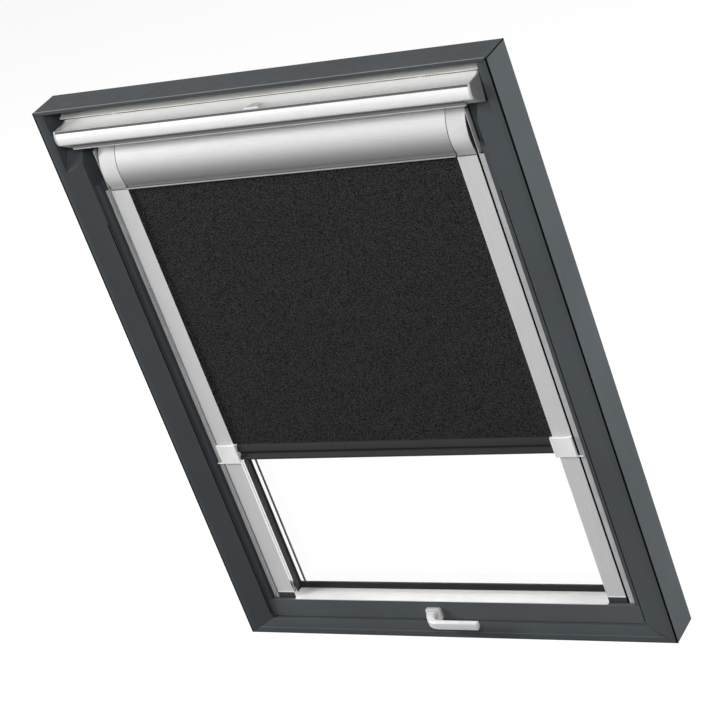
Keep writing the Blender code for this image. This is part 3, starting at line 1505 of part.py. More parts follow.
def build_pieces():
    """Build every piece of the window and the blind."""
    for side in (LEFT, RIGHT):
        build_frame_stile(side)
        build_pivot_pin(side)
        build_sash_stile(side)
        build_bar_bracket(side)
        build_bar_pin(side)
        build_bar_end(side)
        build_guide_rail(side)
        build_rail_end(side)
        build_side_strip(side)
        build_cassette_cap(side)
        build_roller_pin(side)
        build_roller_plug(side)
        build_slider(side)
    build_frame_head()
    build_frame_sill()
    build_lock_keeper()
    build_sash_head()
    build_sash_bottom_rail()
    build_pane("glass_inner", PANE_FRONT_DEPTH)
    build_pane("glass_outer", OUTER_PANE_DEPTH)
    build_spacers()
    build_glazing_covers()
    build_glazing_gasket()
    build_sill_strip()
    build_vent_strip()
    build_control_bar()
    build_bar_lip()
    build_bar_catch()
    build_cassette_shell()
    build_roller_tube()
    build_cloth_roll()
    build_fabric()
    build_bottom_bar()
    build_handle_rose()
    build_handle_lever()
    build_handle_spindle()
    build_latch_cam()
    build_latch_case()


def hang_pieces():
    """Hang each moving piece on the empty of its joint."""
    sash = joint_empty("sash_pivot", (0.0, 0.0, PIVOT_HEIGHT))
    bar_axis = bar_point((0.0, 0.0))
    bar = joint_empty("vent_bar_hinge", (0.0, *bar_axis), sash)
    turn_place = (HANDLE_OFFSET, at_depth(SASH_SETBACK), HANDLE_AXIS_RISE)
    handle = joint_empty("handle_turn", turn_place, sash)
    slide = joint_empty("blind_slide", (0.0, at_depth(CLOTH_DEPTH), BOTTOM_BAR_TOP), sash)
    roller_axis = (0.0, at_depth(ROLLER_DEPTH), at_drop(ROLLER_AXIS_DROP))
    roller = joint_empty("roller_spin", roller_axis, sash)
    moving = {
        bar: ["control_bar", "control_bar_lip", "control_bar_catch"] + both("control_bar_end"),
        handle: ["handle_lever", "handle_spindle", "latch_cam"],
        slide: ["bottom_bar", "fabric"] + both("slider"),
        roller: ["roller_tube", "fabric_roll"] + both("roller_plug"),
    }
    fixed = ["frame_head", "frame_sill", "lock_keeper"] + both("frame_stile") + both("pivot_pin")
    placed = set(fixed)
    for empty, names in moving.items():
        carry(empty, *pieces_named(*names))
        placed.update(names)
    rest = [obj.name for obj in PARTS.objects if obj.type == "MESH" and obj.name not in placed]
    carry(sash, *pieces_named(*rest))


build_pieces()
hang_pieces()
bpy.context.view_layer.update()
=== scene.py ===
"""Looks, light and camera for a roof window with a cassette roller blind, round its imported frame."""

import logging
import math
from collections.abc import Callable
from dataclasses import dataclass
from enum import Enum

import bmesh
import bpy
from mathutils import Matrix, Vector


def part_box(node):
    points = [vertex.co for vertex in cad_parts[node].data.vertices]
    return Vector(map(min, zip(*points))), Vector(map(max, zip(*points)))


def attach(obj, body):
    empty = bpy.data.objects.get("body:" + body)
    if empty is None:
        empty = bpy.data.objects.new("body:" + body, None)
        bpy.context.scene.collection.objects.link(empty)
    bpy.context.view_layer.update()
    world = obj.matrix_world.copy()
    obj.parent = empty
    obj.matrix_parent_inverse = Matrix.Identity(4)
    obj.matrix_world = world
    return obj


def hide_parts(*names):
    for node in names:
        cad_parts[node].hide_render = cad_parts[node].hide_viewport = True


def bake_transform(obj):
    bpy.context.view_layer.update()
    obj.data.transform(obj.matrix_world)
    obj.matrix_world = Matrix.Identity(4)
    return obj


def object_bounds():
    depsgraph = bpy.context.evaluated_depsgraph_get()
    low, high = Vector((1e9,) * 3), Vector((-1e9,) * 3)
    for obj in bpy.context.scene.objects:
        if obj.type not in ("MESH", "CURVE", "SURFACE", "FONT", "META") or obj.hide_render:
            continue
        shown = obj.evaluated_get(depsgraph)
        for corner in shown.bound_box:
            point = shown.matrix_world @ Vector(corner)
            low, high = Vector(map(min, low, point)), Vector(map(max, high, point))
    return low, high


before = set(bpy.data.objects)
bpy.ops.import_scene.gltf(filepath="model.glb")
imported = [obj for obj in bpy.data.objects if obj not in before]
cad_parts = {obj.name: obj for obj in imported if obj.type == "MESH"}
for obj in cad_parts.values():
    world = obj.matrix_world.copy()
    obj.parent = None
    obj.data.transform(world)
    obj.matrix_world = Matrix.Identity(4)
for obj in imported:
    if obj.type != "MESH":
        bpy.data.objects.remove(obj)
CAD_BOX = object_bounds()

LOG = logging.getLogger("roof_window")

Colour = tuple[float, float, float]
Point = tuple[float, float, float]
Spot = tuple[float, float]
Box = tuple[Vector, Vector]
Made = list[bpy.types.Object]
Socket = bpy.types.NodeSocket

WHITE: Colour = (1.0, 1.0, 1.0)
NOISE_SPAN: Spot = (0.3, 0.7)
WELD_DISTANCE = 0.00002
FLAT_ANGLE = math.radians(0.4)
BEVEL_ANGLE = math.radians(38.0)
SHARP_ANGLE = math.radians(36.0)
FACE_WEIGHT = 100
ROUND_FACETS = 3
OUTLINE_DECIMALS = 5


class Body(Enum):
    """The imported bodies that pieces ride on."""

    FRAME = "frame"
    SASH = "sash"
    VENT_BAR = "vent_bar"
    HANDLE = "handle"
    BLIND_BAR = "blind_bar"
    ROLLER = "roller"


class Slot(Enum):
    """The record's material slots for the new pieces."""

    FRAME_LACQUER = "frame_lacquer"
    SATIN_METAL = "satin_aluminium"
    RAIL_METAL = "rail_aluminium"
    BAR_BLACK = "bar_black"
    HANDLE_METAL = "handle_metal"
    CLOTH = "blackout_cloth"
    RUBBER = "gasket_rubber"
    PLASTIC = "white_plastic"
    STEEL = "steel"


class Side(Enum):
    """The two sides of the window, by the sign of X."""

    LEFT = -1
    RIGHT = 1

    @property
    def word(self) -> str:
        """The side's name in lower case."""
        return self.name.lower()

    def node(self, stem: str) -> str:
        """The name of this side's node or piece."""
        return stem + "_" + self.word

    def box(self, stem: str) -> Box:
        """The box of this side's node."""
        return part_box(self.node(stem))

    def inner(self, box: Box) -> float:
        """The X of a box's side that is nearer to the middle of the window."""
        return box[1].x if self is Side.LEFT else box[0].x

    def outer(self, box: Box) -> float:
        """The X of a box's side that is farther from the middle of the window."""
        return box[0].x if self is Side.LEFT else box[1].x

    def out(self, x: float, distance: float) -> float:
        """The X that lies farther from the middle than another by a distance."""
        return x + self.value * distance


class Grain(Enum):
    """The way that a metal's brush lines run, as the stretch of the texture along X, Y and Z."""

    ACROSS = (1.0, 70.0, 70.0)
    UPRIGHT = (70.0, 70.0, 1.0)
    NONE = (1.0, 1.0, 1.0)


class Texture(Enum):
    """Noise by what it shows, as its features for each metre and its octaves of finer noise."""

    FLOOR_GRAIN = (3.0, 2.0)
    COAT_CLOUD = (5.0, 3.0)
    METAL_CLOUD = (8.0, 2.0)
    WASH_MARKS = (14.0, 5.0)
    PLASTIC_CLOUD = (25.0, 2.0)
    BRUSH_LINES = (30.0, 3.0)
    COAT_WEAR = (60.0, 4.0)
    CLOTH_PEBBLE = (480.0, 2.0)
    ORANGE_PEEL = (900.0, 2.0)
    FINE_BLAST = (1100.0, 2.0)
    SPARK_GRAIN = (1400.0, 3.0)


# Materials

class NodeBoard:
    """A shader node tree with short ways to add and join its nodes."""

    def __init__(self, tree: bpy.types.NodeTree, output: str = "ShaderNodeOutputMaterial") -> None:
        """Empties the tree and gives it an output.

        Args:
            tree: The node tree.
            output: The output node's type.
        """
        self.tree = tree
        self.tree.nodes.clear()
        self.output = self.tree.nodes.new(output)

    def put(self, value: object, socket: Socket) -> None:
        """Links a socket to an input, or sets the input to a number or a colour.

        Args:
            value: The socket, number or colour.
            socket: The input.
        """
        if isinstance(value, Socket):
            self.tree.links.new(value, socket)
        elif socket.type == "RGBA":
            socket.default_value = (*value, 1.0)
        else:
            socket.default_value = value

    def add(self, kind: str, **values: object) -> bpy.types.Node:
        """Adds a node.

        Args:
            kind: The node's type.
            values: Node settings, and values or sockets for its inputs, with _ for a space.

        Returns:
            The new node.
        """
        node = self.tree.nodes.new(kind)
        inputs = {socket.name.replace(" ", "_"): socket for socket in reversed(node.inputs)}
        for key, value in values.items():
            if key in inputs:
                self.put(value, inputs[key])
            else:
                setattr(node, key, value)
        return node

    def math(self, operation: str, *values: object, clamp: bool = False) -> Socket:
        """Reckons with numbers or sockets.

        Args:
            operation: The name of the operation.
            values: Its numbers or sockets, in order.
            clamp: True to keep the result between 0 and 1.

        Returns:
            The result.
        """
        node = self.add("ShaderNodeMath", operation=operation, use_clamp=clamp)
        for value, socket in zip(values, node.inputs):
            self.put(value, socket)
        return node.outputs[0]

    def mix(self, share: Socket, first: bpy.types.Node, second: bpy.types.Node) -> bpy.types.Node:
        """Mixes two shaders.

        Args:
            share: How much of the second shows.
            first: The first shader.
            second: The second shader.

        Returns:
            The mixed shader.
        """
        node = self.add("ShaderNodeMixShader", Fac=share)
        self.put(first.outputs[0], node.inputs[1])
        self.put(second.outputs[0], node.inputs[2])
        return node

    def place(self, stretch: Point = (1.0, 1.0, 1.0)) -> Socket:
        """Object coordinates in metres.

        Args:
            stretch: The scale along each axis.

        Returns:
            The place.
        """
        source = self.add("ShaderNodeTexCoord").outputs["Object"]
        return self.add("ShaderNodeMapping", Vector=source, Scale=stretch).outputs["Vector"]

    def noise(self, place: Socket, texture: Texture) -> Socket:
        """Noise over a surface.

        Args:
            place: The coordinates.
            texture: What the noise shows.

        Returns:
            The noise's value.
        """
        scale, detail = texture.value
        return self.add("ShaderNodeTexNoise", Vector=place, Scale=scale, Detail=detail).outputs["Fac"]

    def ranged(self, value: Socket, low: float, high: float) -> Socket:
        """Noise spread between two numbers.

        Args:
            value: Noise that lies mostly in NOISE_SPAN.
            low: The number where the noise is low.
            high: The number where the noise is high.

        Returns:
            The new value.
        """
        first, last = NOISE_SPAN
        node = self.add(
            "ShaderNodeMapRange", Value=value, From_Min=first, From_Max=last, To_Min=low, To_Max=high,
        )
        return node.outputs["Result"]

    def tone(self, noise: Socket, colour: Colour, dark: float, light: float) -> Socket:
        """A colour that noise makes darker and lighter.

        Args:
            noise: The noise.
            colour: The colour.
            dark: The share of it where the noise is low.
            light: The share of it where the noise is high.

        Returns:
            The varied colour.
        """
        ramp = self.add("ShaderNodeValToRGB", Fac=noise)
        for end, position, share in zip(ramp.color_ramp.elements, NOISE_SPAN, (dark, light)):
            end.position = position
            end.color = (*(min(1.0, part * share) for part in colour), 1.0)
        return ramp.outputs["Color"]

    def bump(self, height: Socket, strength: float, distance: float) -> Socket:
        """A normal from a height.

        Args:
            height: The height, from 0 to 1.
            strength: How much of it shows.
            distance: The real height of 1, in metres.

        Returns:
            The normal.
        """
        node = self.add("ShaderNodeBump", Height=height, Strength=strength, Distance=distance)
        return node.outputs["Normal"]

    def show(self, shader: bpy.types.Node) -> None:
        """Joins a shader to the output."""
        self.put(shader.outputs[0], self.output.inputs["Surface"])


MADE_MATERIALS: dict[str, bpy.types.Material] = {}


@dataclass(frozen=True)
class Finish:
    """A surface finish; its material is made once and then shared."""

    name: str
    colour: Colour

    def material(self) -> bpy.types.Material:
        """The finish's material, made at its first use.

        Returns:
            The material.
        """
        if self.name not in MADE_MATERIALS:
            made = bpy.data.materials.new("dressed_" + self.name)
            made.use_nodes = True
            board = NodeBoard(made.node_tree)
            board.show(self.shader(board))
            MADE_MATERIALS[self.name] = made
        return MADE_MATERIALS[self.name]

    def shader(self, board: NodeBoard) -> bpy.types.Node:
        """The finish's shader; each kind of finish has its own."""
        raise NotImplementedError


@dataclass(frozen=True)
class Lacquer(Finish):
    """Powder coat: fine orange peel, a soft gloss that varies, and faint cloudy colour."""

    roughness: float = 0.46
    gloss: float = 0.05
    peel: float = 0.10
    peel_height: float = 0.0004
    cloudiness: float = 0.10
    wear: float = 0.05

    def shader(self, board: NodeBoard) -> bpy.types.Node:
        """The powder coat's shader.

        Args:
            board: The material's node board.

        Returns:
            The shader.
        """
        place = board.place()
        cloud = board.noise(place, Texture.COAT_CLOUD)
        wear = board.noise(place, Texture.COAT_WEAR)
        peel = board.noise(place, Texture.ORANGE_PEEL)
        return board.add(
            "ShaderNodeBsdfPrincipled",
            Base_Color=board.tone(cloud, self.colour, 1.0 - self.cloudiness, 1.0 + self.cloudiness),
            Roughness=board.ranged(wear, self.roughness - self.wear, self.roughness + self.wear),
            Specular_IOR_Level=self.gloss,
            Normal=board.bump(peel, self.peel, self.peel_height),
        )


@dataclass(frozen=True)
class PaintedShade:
    """Painted shade: a tone that falls from a high place to a low one."""

    low: float
    high: float
    share_left: float

    def over(self, board: NodeBoard, colour: Socket) -> Socket:
        """The colour with the painted shade over it, falling in tone from the high place to the low one.

        Args:
            board: The node board.
            colour: The colour.

        Returns:
            The new colour.
        """
        rise = board.add("ShaderNodeSeparateXYZ", Vector=board.place()).outputs["Z"]
        share = board.add(
            "ShaderNodeMapRange", interpolation_type="SMOOTHSTEP",
            Value=rise, From_Min=self.low, From_Max=self.high, To_Min=self.share_left, To_Max=1.0,
        ).outputs["Result"]
        return board.add("ShaderNodeVectorMath", operation="SCALE", Vector=colour, Scale=share).outputs[0]


@dataclass(frozen=True)
class Metal(Finish):
    """Satin or brushed metal: fine lines or a fine blast, with a gloss that varies, and where given a painted
    shade that darkens it towards the bottom.
    """

    roughness: float = 0.34
    metallic: float = 0.2
    gloss: float = 0.3
    grain: Grain = Grain.NONE
    speckle: float = 0.06
    relief: float = 0.06
    relief_height: float = 0.0003
    smoother: float = 0.03
    rougher: float = 0.04
    painted_shade: PaintedShade | None = None

    def shader(self, board: NodeBoard) -> bpy.types.Node:
        """The metal's shader.

        Args:
            board: The material's node board.

        Returns:
            The shader.
        """
        place = board.place()
        lines = board.noise(board.place(self.grain.value), Texture.BRUSH_LINES)
        blast = board.noise(place, Texture.FINE_BLAST)
        cloud = board.noise(place, Texture.METAL_CLOUD)
        marks = board.math("ADD", *(board.ranged(noise, 0.0, 0.5) for noise in (lines, blast)), clamp=True)
        colour = board.tone(marks, self.colour, 1.0 - self.speckle, 1.0 + self.speckle)
        return board.add(
            "ShaderNodeBsdfPrincipled",
            Base_Color=self.painted_shade.over(board, colour) if self.painted_shade else colour,
            Metallic=self.metallic,
            Roughness=board.ranged(cloud, self.roughness - self.smoother, self.roughness + self.rougher),
            Specular_IOR_Level=self.gloss,
            Normal=board.bump(marks, self.relief, self.relief_height),
        )


@dataclass(frozen=True)
class Moulded(Finish):
    """Moulded plastic or rubber: fine spark texture and a little colour variation."""

    roughness: float = 0.45
    gloss: float = 0.5
    relief: float = 0.12
    relief_height: float = 0.0003
    cloudiness: float = 0.04
    spread: float = 0.06

    def shader(self, board: NodeBoard) -> bpy.types.Node:
        """The moulded surface's shader.

        Args:
            board: The material's node board.

        Returns:
            The shader.
        """
        place = board.place()
        grain = board.noise(place, Texture.SPARK_GRAIN)
        cloud = board.noise(place, Texture.PLASTIC_CLOUD)
        return board.add(
            "ShaderNodeBsdfPrincipled",
            Base_Color=board.tone(cloud, self.colour, 1.0 - self.cloudiness, 1.0 + self.cloudiness),
            Roughness=board.ranged(grain, self.roughness - self.spread, self.roughness + self.spread),
            Specular_IOR_Level=self.gloss,
            Normal=board.bump(grain, self.relief, self.relief_height),
        )


@dataclass(frozen=True)
class Blackout(Finish):
    """Coated blackout cloth: a tight plain weave under a pebbled coat."""

    thread: float = 0.0011
    wave: float = 0.16  # the wave texture's scale for a thread of one metre
    weave_share: float = 0.35
    contrast: Spot = (0.1, 4.4)
    roughness: Spot = (0.72, 0.95)
    gloss: float = 0.01
    relief: float = 0.6
    relief_height: float = 0.0012

    def shader(self, board: NodeBoard) -> bpy.types.Node:
        """The cloth's shader.

        Args:
            board: The material's node board.

        Returns:
            The shader.
        """
        place, scale = board.place(), self.wave / self.thread
        warp, weft = (
            board.add("ShaderNodeTexWave", Vector=place, Scale=scale, bands_direction=way).outputs["Fac"]
            for way in ("X", "Z")
        )
        coat = board.noise(place, Texture.CLOTH_PEBBLE)
        height = board.math("MULTIPLY_ADD", board.math("MAXIMUM", warp, weft), self.weave_share, coat)
        return board.add(
            "ShaderNodeBsdfPrincipled",
            Base_Color=board.tone(coat, self.colour, *self.contrast),
            Roughness=board.ranged(coat, *self.roughness),
            Specular_IOR_Level=self.gloss,
            Normal=board.bump(height, self.relief, self.relief_height),
        )


@dataclass(frozen=True)
class Glazing(Finish):
    """Clear glass that lets the lamps through, with a trace of wash marks."""

    roughness: float = 0.015
    index: float = 1.18
    relief: float = 0.01
    relief_height: float = 0.0002

    def shader(self, board: NodeBoard) -> bpy.types.Node:
        """The glass's shader.

        Args:
            board: The material's node board.

        Returns:
            The shader.
        """
        marks = board.noise(board.place(), Texture.WASH_MARKS)
        glass = board.add(
            "ShaderNodeBsdfPrincipled",
            Base_Color=self.colour,
            Roughness=board.ranged(marks, 0.0, self.roughness),
            IOR=self.index,
            Transmission_Weight=1.0,
            Normal=board.bump(marks, self.relief, self.relief_height),
        )
        clear = board.add("ShaderNodeBsdfTransparent", Color=self.colour)
        return board.mix(board.add("ShaderNodeLightPath").outputs["Is Shadow Ray"], glass, clear)


@dataclass(frozen=True)
class StudioFloor(Finish):
    """A pale floor: white to the camera, in reflections and through glass, with a soft shadow on it."""

    glow: float = 0.90
    darker: float = 0.98

    def shader(self, board: NodeBoard) -> bpy.types.Node:
        """The floor's shader.

        Args:
            board: The material's node board.

        Returns:
            The shader.
        """
        paths = board.add("ShaderNodeLightPath").outputs
        mirrored = board.math("MAXIMUM", paths["Is Glossy Ray"], paths["Is Transmission Ray"])
        grain = board.noise(board.place(), Texture.FLOOR_GRAIN)
        pale = board.add("ShaderNodeBsdfDiffuse", Color=board.tone(grain, self.colour, self.darker, 1.0))
        glow = board.add("ShaderNodeEmission", Color=WHITE, Strength=self.glow)
        lit = board.add("ShaderNodeAddShader")
        for shader, socket in zip((pale, glow), lit.inputs):
            board.put(shader.outputs[0], socket)
        white = board.add("ShaderNodeEmission", Color=WHITE, Strength=1.0)
        return board.mix(mirrored, board.mix(paths["Is Camera Ray"], pale, lit), white)


FRAME_COAT = Lacquer("frame_coat", (0.072, 0.081, 0.088))
# the sash's paint made lighter as painted light on the bottom rail
BOTTOM_RAIL_LIT_COAT = Lacquer("bottom_rail_coat", (0.100, 0.109, 0.118), roughness=0.48)
SASH_COAT = Lacquer("sash_coat", (0.078, 0.086, 0.093), roughness=0.48)
# painted highlight along the front edge of the head
HEAD_HIGHLIGHT_COAT = Lacquer("worn_edge_coat", (0.34, 0.345, 0.35), roughness=0.40)
# painted highlight where the sill's rim turns into its slope
SILL_HIGHLIGHT_COAT = Lacquer("sill_edge_coat", (0.13, 0.137, 0.145), roughness=0.44)
COVER_COAT = Lacquer("cover_coat", (0.060, 0.064, 0.070), roughness=0.36)
BAR_BLACK = Lacquer("bottom_bar_coat", (0.046, 0.046, 0.047), roughness=0.36, gloss=0.02, peel=0.05)
BAR_METAL = Metal("bar_satin_metal", (0.93, 0.93, 0.925), grain=Grain.ACROSS, roughness=0.36)
# the bar's satin metal darkened as painted shade on the lip that faces down
LIP_SHADE_METAL = Metal("lip_satin_metal", (0.30, 0.30, 0.30), grain=Grain.ACROSS, roughness=0.40, gloss=0.1)
# dark lines: painted shade in grooves and between parts, and dark joints
SHADE_AND_JOINT_METAL = Metal(
    "groove_dark_metal", (0.15, 0.15, 0.152), grain=Grain.ACROSS, metallic=0.0, gloss=0.05, roughness=0.6,
)
BEAD_METAL = Metal(
    "bead_satin_metal", (0.40, 0.40, 0.40), grain=Grain.ACROSS, metallic=0.1, roughness=0.4, gloss=0.1,
)
# painted highlights on edges
HIGHLIGHT_METAL = Metal("bright_edge_metal", (0.62, 0.62, 0.62), metallic=0.3, roughness=0.35)
LINING_METAL = Metal(
    "polished_lining", (0.92, 0.92, 0.92), metallic=1.0, roughness=0.16, speckle=0.02, relief=0.02,
)
BAR_END_METAL = Metal(
    "bar_end_metal", (0.50, 0.50, 0.502), metallic=0.3, roughness=0.34, gloss=0.2, speckle=0.10,
)
# painted shade: the shell's colour darkens towards its foot
CASSETTE_METAL = Metal(
    "cassette_satin_metal", (0.88, 0.88, 0.875), grain=Grain.ACROSS, metallic=0.1, gloss=0.2,
    painted_shade=PaintedShade(0.842, 0.894, 0.27),
)
# painted shade: the caps' colour darkens towards their foot
CAP_METAL = Metal(
    "cap_satin_metal", (0.74, 0.74, 0.745), metallic=0.1, gloss=0.2, roughness=0.40,
    painted_shade=PaintedShade(0.832, 0.868, 0.55),
)
RAIL_METAL = Metal(
    "rail_satin_metal", (0.67, 0.67, 0.68), grain=Grain.UPRIGHT, metallic=0.1, roughness=0.45, gloss=0.2,
)
STRIP_METAL = Metal("strip_blasted_metal", (0.50, 0.50, 0.505), metallic=0.1, roughness=0.5, speckle=0.10)
LEDGE_METAL = Metal("ledge_pale_metal", (0.67, 0.67, 0.665), grain=Grain.ACROSS, metallic=0.1, roughness=0.4)
SPACER_METAL = Metal(
    "spacer_metal", (0.97, 0.97, 0.97), grain=Grain.UPRIGHT, metallic=1.0, roughness=0.15,
    speckle=0.01, relief=0.01,
)
HANDLE_METAL = Metal("handle_satin_metal", (0.66, 0.66, 0.665), metallic=0.2, roughness=0.32, speckle=0.03)
STEEL = Metal("zinc_steel", (0.50, 0.50, 0.50), metallic=0.9, roughness=0.32)
FOOT_PLASTIC = Moulded("foot_plastic", (0.040, 0.041, 0.043), roughness=0.5, gloss=0.2)
VENT_PLASTIC = Moulded("vent_plastic", (0.86, 0.865, 0.81), roughness=0.5, gloss=0.2)
WHITE_PLASTIC = Moulded("slider_plastic", (0.97, 0.97, 0.965), roughness=0.42, gloss=0.3)
GREY_PLASTIC = Moulded("plug_plastic", (0.25, 0.25, 0.25), roughness=0.5)
RUBBER = Moulded("gasket_rubber", (0.030, 0.030, 0.031), roughness=0.75, gloss=0.05)
# black for dark joints, and as painted shade in gaps and channels
JOINT_AND_SHADE_BLACK = Moulded("seam_black", (0.005, 0.005, 0.0055), roughness=0.9, gloss=0.0)
CLOTH = Blackout("blackout_cloth", (0.014, 0.0142, 0.0146))
GLASS = Glazing("clear_glass", WHITE)
FLOOR = StudioFloor("studio_floor", (0.20, 0.20, 0.20))


# Meshes

def geometry_group(name: str, build: Callable[[bpy.types.NodeTree], None]) -> bpy.types.NodeTree:
    """A geometry node group that is made once.

    Args:
        name: The group's name.
        build: A function that adds the nodes between the group's input and output.

    Returns:
        The group.
    """
    group = bpy.data.node_groups.get(name)
    if not group:
        group = bpy.data.node_groups.new(name, "GeometryNodeTree")
        for way in ("INPUT", "OUTPUT"):
            group.interface.new_socket("Geometry", in_out=way, socket_type="NodeSocketGeometry")
        build(group)
    return group


def chain_nodes(group: bpy.types.NodeTree, *steps: bpy.types.Node) -> None:
    """Sends a group's geometry through nodes, from its input to its output.

    Args:
        group: The group.
        steps: The nodes, in order.
    """
    row = [group.nodes.new("NodeGroupInput"), *steps, group.nodes.new("NodeGroupOutput")]
    for first, second in zip(row, row[1:]):
        group.links.new(first.outputs[0], second.inputs[0])


def weld_nodes(group: bpy.types.NodeTree) -> None:
    """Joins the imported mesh's split corners and drops its stored normals.

    Args:
        group: The group to fill.
    """
    clean = group.nodes.new("GeometryNodeRemoveAttribute")
    clean.inputs["Name"].default_value = "custom_normal"
    merge = group.nodes.new("GeometryNodeMergeByDistance")
    merge.inputs["Distance"].default_value = WELD_DISTANCE
    chain_nodes(group, clean, merge)


def smooth_nodes(group: bpy.types.NodeTree) -> None:
    """Shades smooth, and keeps edges sharp where the faces turn by more than SHARP_ANGLE.

    Args:
        group: The group to fill.
    """
    angle = group.nodes.new("GeometryNodeInputMeshEdgeAngle")
    gentle = group.nodes.new("FunctionNodeCompare")
    gentle.data_type = "FLOAT"
    gentle.operation = "LESS_EQUAL"
    gentle.inputs["B"].default_value = SHARP_ANGLE
    faces = group.nodes.new("GeometryNodeSetShadeSmooth")
    edges = group.nodes.new("GeometryNodeSetShadeSmooth")
    edges.domain = "EDGE"
    group.links.new(angle.outputs["Unsigned Angle"], gentle.inputs["A"])
    group.links.new(gentle.outputs["Result"], edges.inputs["Shade Smooth"])
    chain_nodes(group, faces, edges)


def smooth(obj: bpy.types.Object) -> None:
    """Shades an object smooth except at its sharp edges."""
    obj.modifiers.new("smooth", "NODES").node_group = geometry_group("smooth_by_angle", smooth_nodes)


def soften(obj: bpy.types.Object, edge: float, segments: int = 2) -> None:
    """Rounds an object's sharp edges with modifiers and shades it smoothly.

    Args:
        obj: The object.
        edge: The width of the rounding, or 0 for none.
        segments: The facets across the rounding.
    """
    obj.modifiers.new("weld", "NODES").node_group = geometry_group("weld_corners", weld_nodes)
    flat = obj.modifiers.new("flat", "DECIMATE")
    flat.decimate_type = "DISSOLVE"
    flat.angle_limit = FLAT_ANGLE
    if edge:
        bevel = obj.modifiers.new("edge", "BEVEL")
        bevel.width = edge
        bevel.segments = segments
        bevel.limit_method = "ANGLE"
        bevel.angle_limit = BEVEL_ANGLE
        bevel.use_clamp_overlap = True
    smooth(obj)
    weighted = obj.modifiers.new("weighted", "WEIGHTED_NORMAL")
    weighted.keep_sharp = True
    weighted.weight = FACE_WEIGHT


@dataclass(frozen=True)
class Coating:
    """CAD nodes that share a finish and an edge rounding."""

    nodes: tuple[str, ...]
    finish: Finish
    edge: float = 0.0003
    segments: int = 2

    def apply(self) -> None:
        """Gives the nodes their material and their rounded edges."""
        for name in self.nodes:
            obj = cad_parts[name]
            obj.data.materials.clear()
            obj.data.materials.append(self.finish.material())
            soften(obj, self.edge, self.segments)


def piece(name: str, mesh: bmesh.types.BMesh, finish: Finish) -> bpy.types.Object:
    """Makes an object from a mesh in the row frame.

    Args:
        name: The piece's name.
        mesh: Its mesh, which is used up.
        finish: Its finish.

    Returns:
        The new object.
    """
    bmesh.ops.recalc_face_normals(mesh, faces=mesh.faces)
    data = bpy.data.meshes.new(name)
    mesh.to_mesh(data)
    mesh.free()
    data.materials.append(finish.material())
    obj = bpy.data.objects.new(name, data)
    bpy.context.scene.collection.objects.link(obj)
    return obj


def mount(obj: bpy.types.Object, body: Body, slot: Slot, *nodes: str) -> bpy.types.Object:
    """Rides a piece on a body and hides the CAD nodes that it stands for.

    Args:
        obj: The piece.
        body: The body that it moves with.
        slot: The record's slot for the piece; not used.
        nodes: The CAD nodes that it replaces.

    Returns:
        The same piece.
    """
    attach(obj, body.value)
    if nodes:
        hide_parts(*nodes)
    return obj


def add_rings(mesh: bmesh.types.BMesh, rings: list[list[Vector]]) -> None:
    """Adds a skin over rings of points, with a face over each end.

    Args:
        mesh: The mesh to add to.
        rings: Rings with the same number of points each.
    """
    rows = [[mesh.verts.new(point) for point in ring] for ring in rings]
    count = len(rows[0])
    for first, second in zip(rows, rows[1:]):
        for index in range(count):
            after = (index + 1) % count
            mesh.faces.new((first[index], first[after], second[after], second[index]))
    mesh.faces.new(rows[0][::-1])
    mesh.faces.new(rows[-1])


def add_prism(mesh: bmesh.types.BMesh, loop: list[Vector], reach: Vector) -> None:
    """Adds a solid that a closed loop sweeps along a straight line.

    Args:
        mesh: The mesh to add to.
        loop: The points of the loop.
        reach: The way and distance that it is swept.
    """
    add_rings(mesh, [loop, [point + reach for point in loop]])


def add_box(mesh: bmesh.types.BMesh, one: Point, other: Point) -> None:
    """Adds a box between two opposite corners.

    Args:
        mesh: The mesh to add to.
        one: A corner.
        other: The opposite corner.
    """
    low, high = tuple(map(min, one, other)), tuple(map(max, one, other))
    spots = (low[0], low[1]), (high[0], low[1]), (high[0], high[1]), (low[0], high[1])
    add_prism(mesh, [Vector((x, y, low[2])) for x, y in spots], Vector((0.0, 0.0, high[2] - low[2])))


def boxes(name: str, finish: Finish, *corners: tuple[Point, Point]) -> bpy.types.Object:
    """Makes a piece from boxes.

    Args:
        name: The piece's name.
        finish: Its finish.
        corners: Two opposite corners of each box.

    Returns:
        The new object.
    """
    mesh = bmesh.new()
    for one, other in corners:
        add_box(mesh, one, other)
    return piece(name, mesh, finish)


def beam(name: str, finish: Finish, loop: list[Spot], first_x: float, last_x: float) -> bpy.types.Object:
    """Makes a piece with one section all along X.

    Args:
        name: The piece's name.
        finish: Its finish.
        loop: The (y, z) points of its section.
        first_x: Where it starts.
        last_x: Where it ends.

    Returns:
        The new object.
    """
    mesh = bmesh.new()
    add_prism(mesh, [Vector((first_x, y, z)) for y, z in loop], Vector((last_x - first_x, 0.0, 0.0)))
    return piece(name, mesh, finish)


@dataclass(frozen=True)
class Moulding:
    """A piece with one section along the whole of a node, set from the node's front and its top or foot."""

    name: str
    node: str
    at_top: bool
    section: tuple[Spot, ...]
    finish: Finish

    def make(self) -> bpy.types.Object:
        """Makes the moulding.

        Returns:
            The moulding.
        """
        low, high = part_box(self.node)
        level = high.z if self.at_top else low.z
        return beam(self.name, self.finish, [(low.y + y, level + z) for y, z in self.section], low.x, high.x)


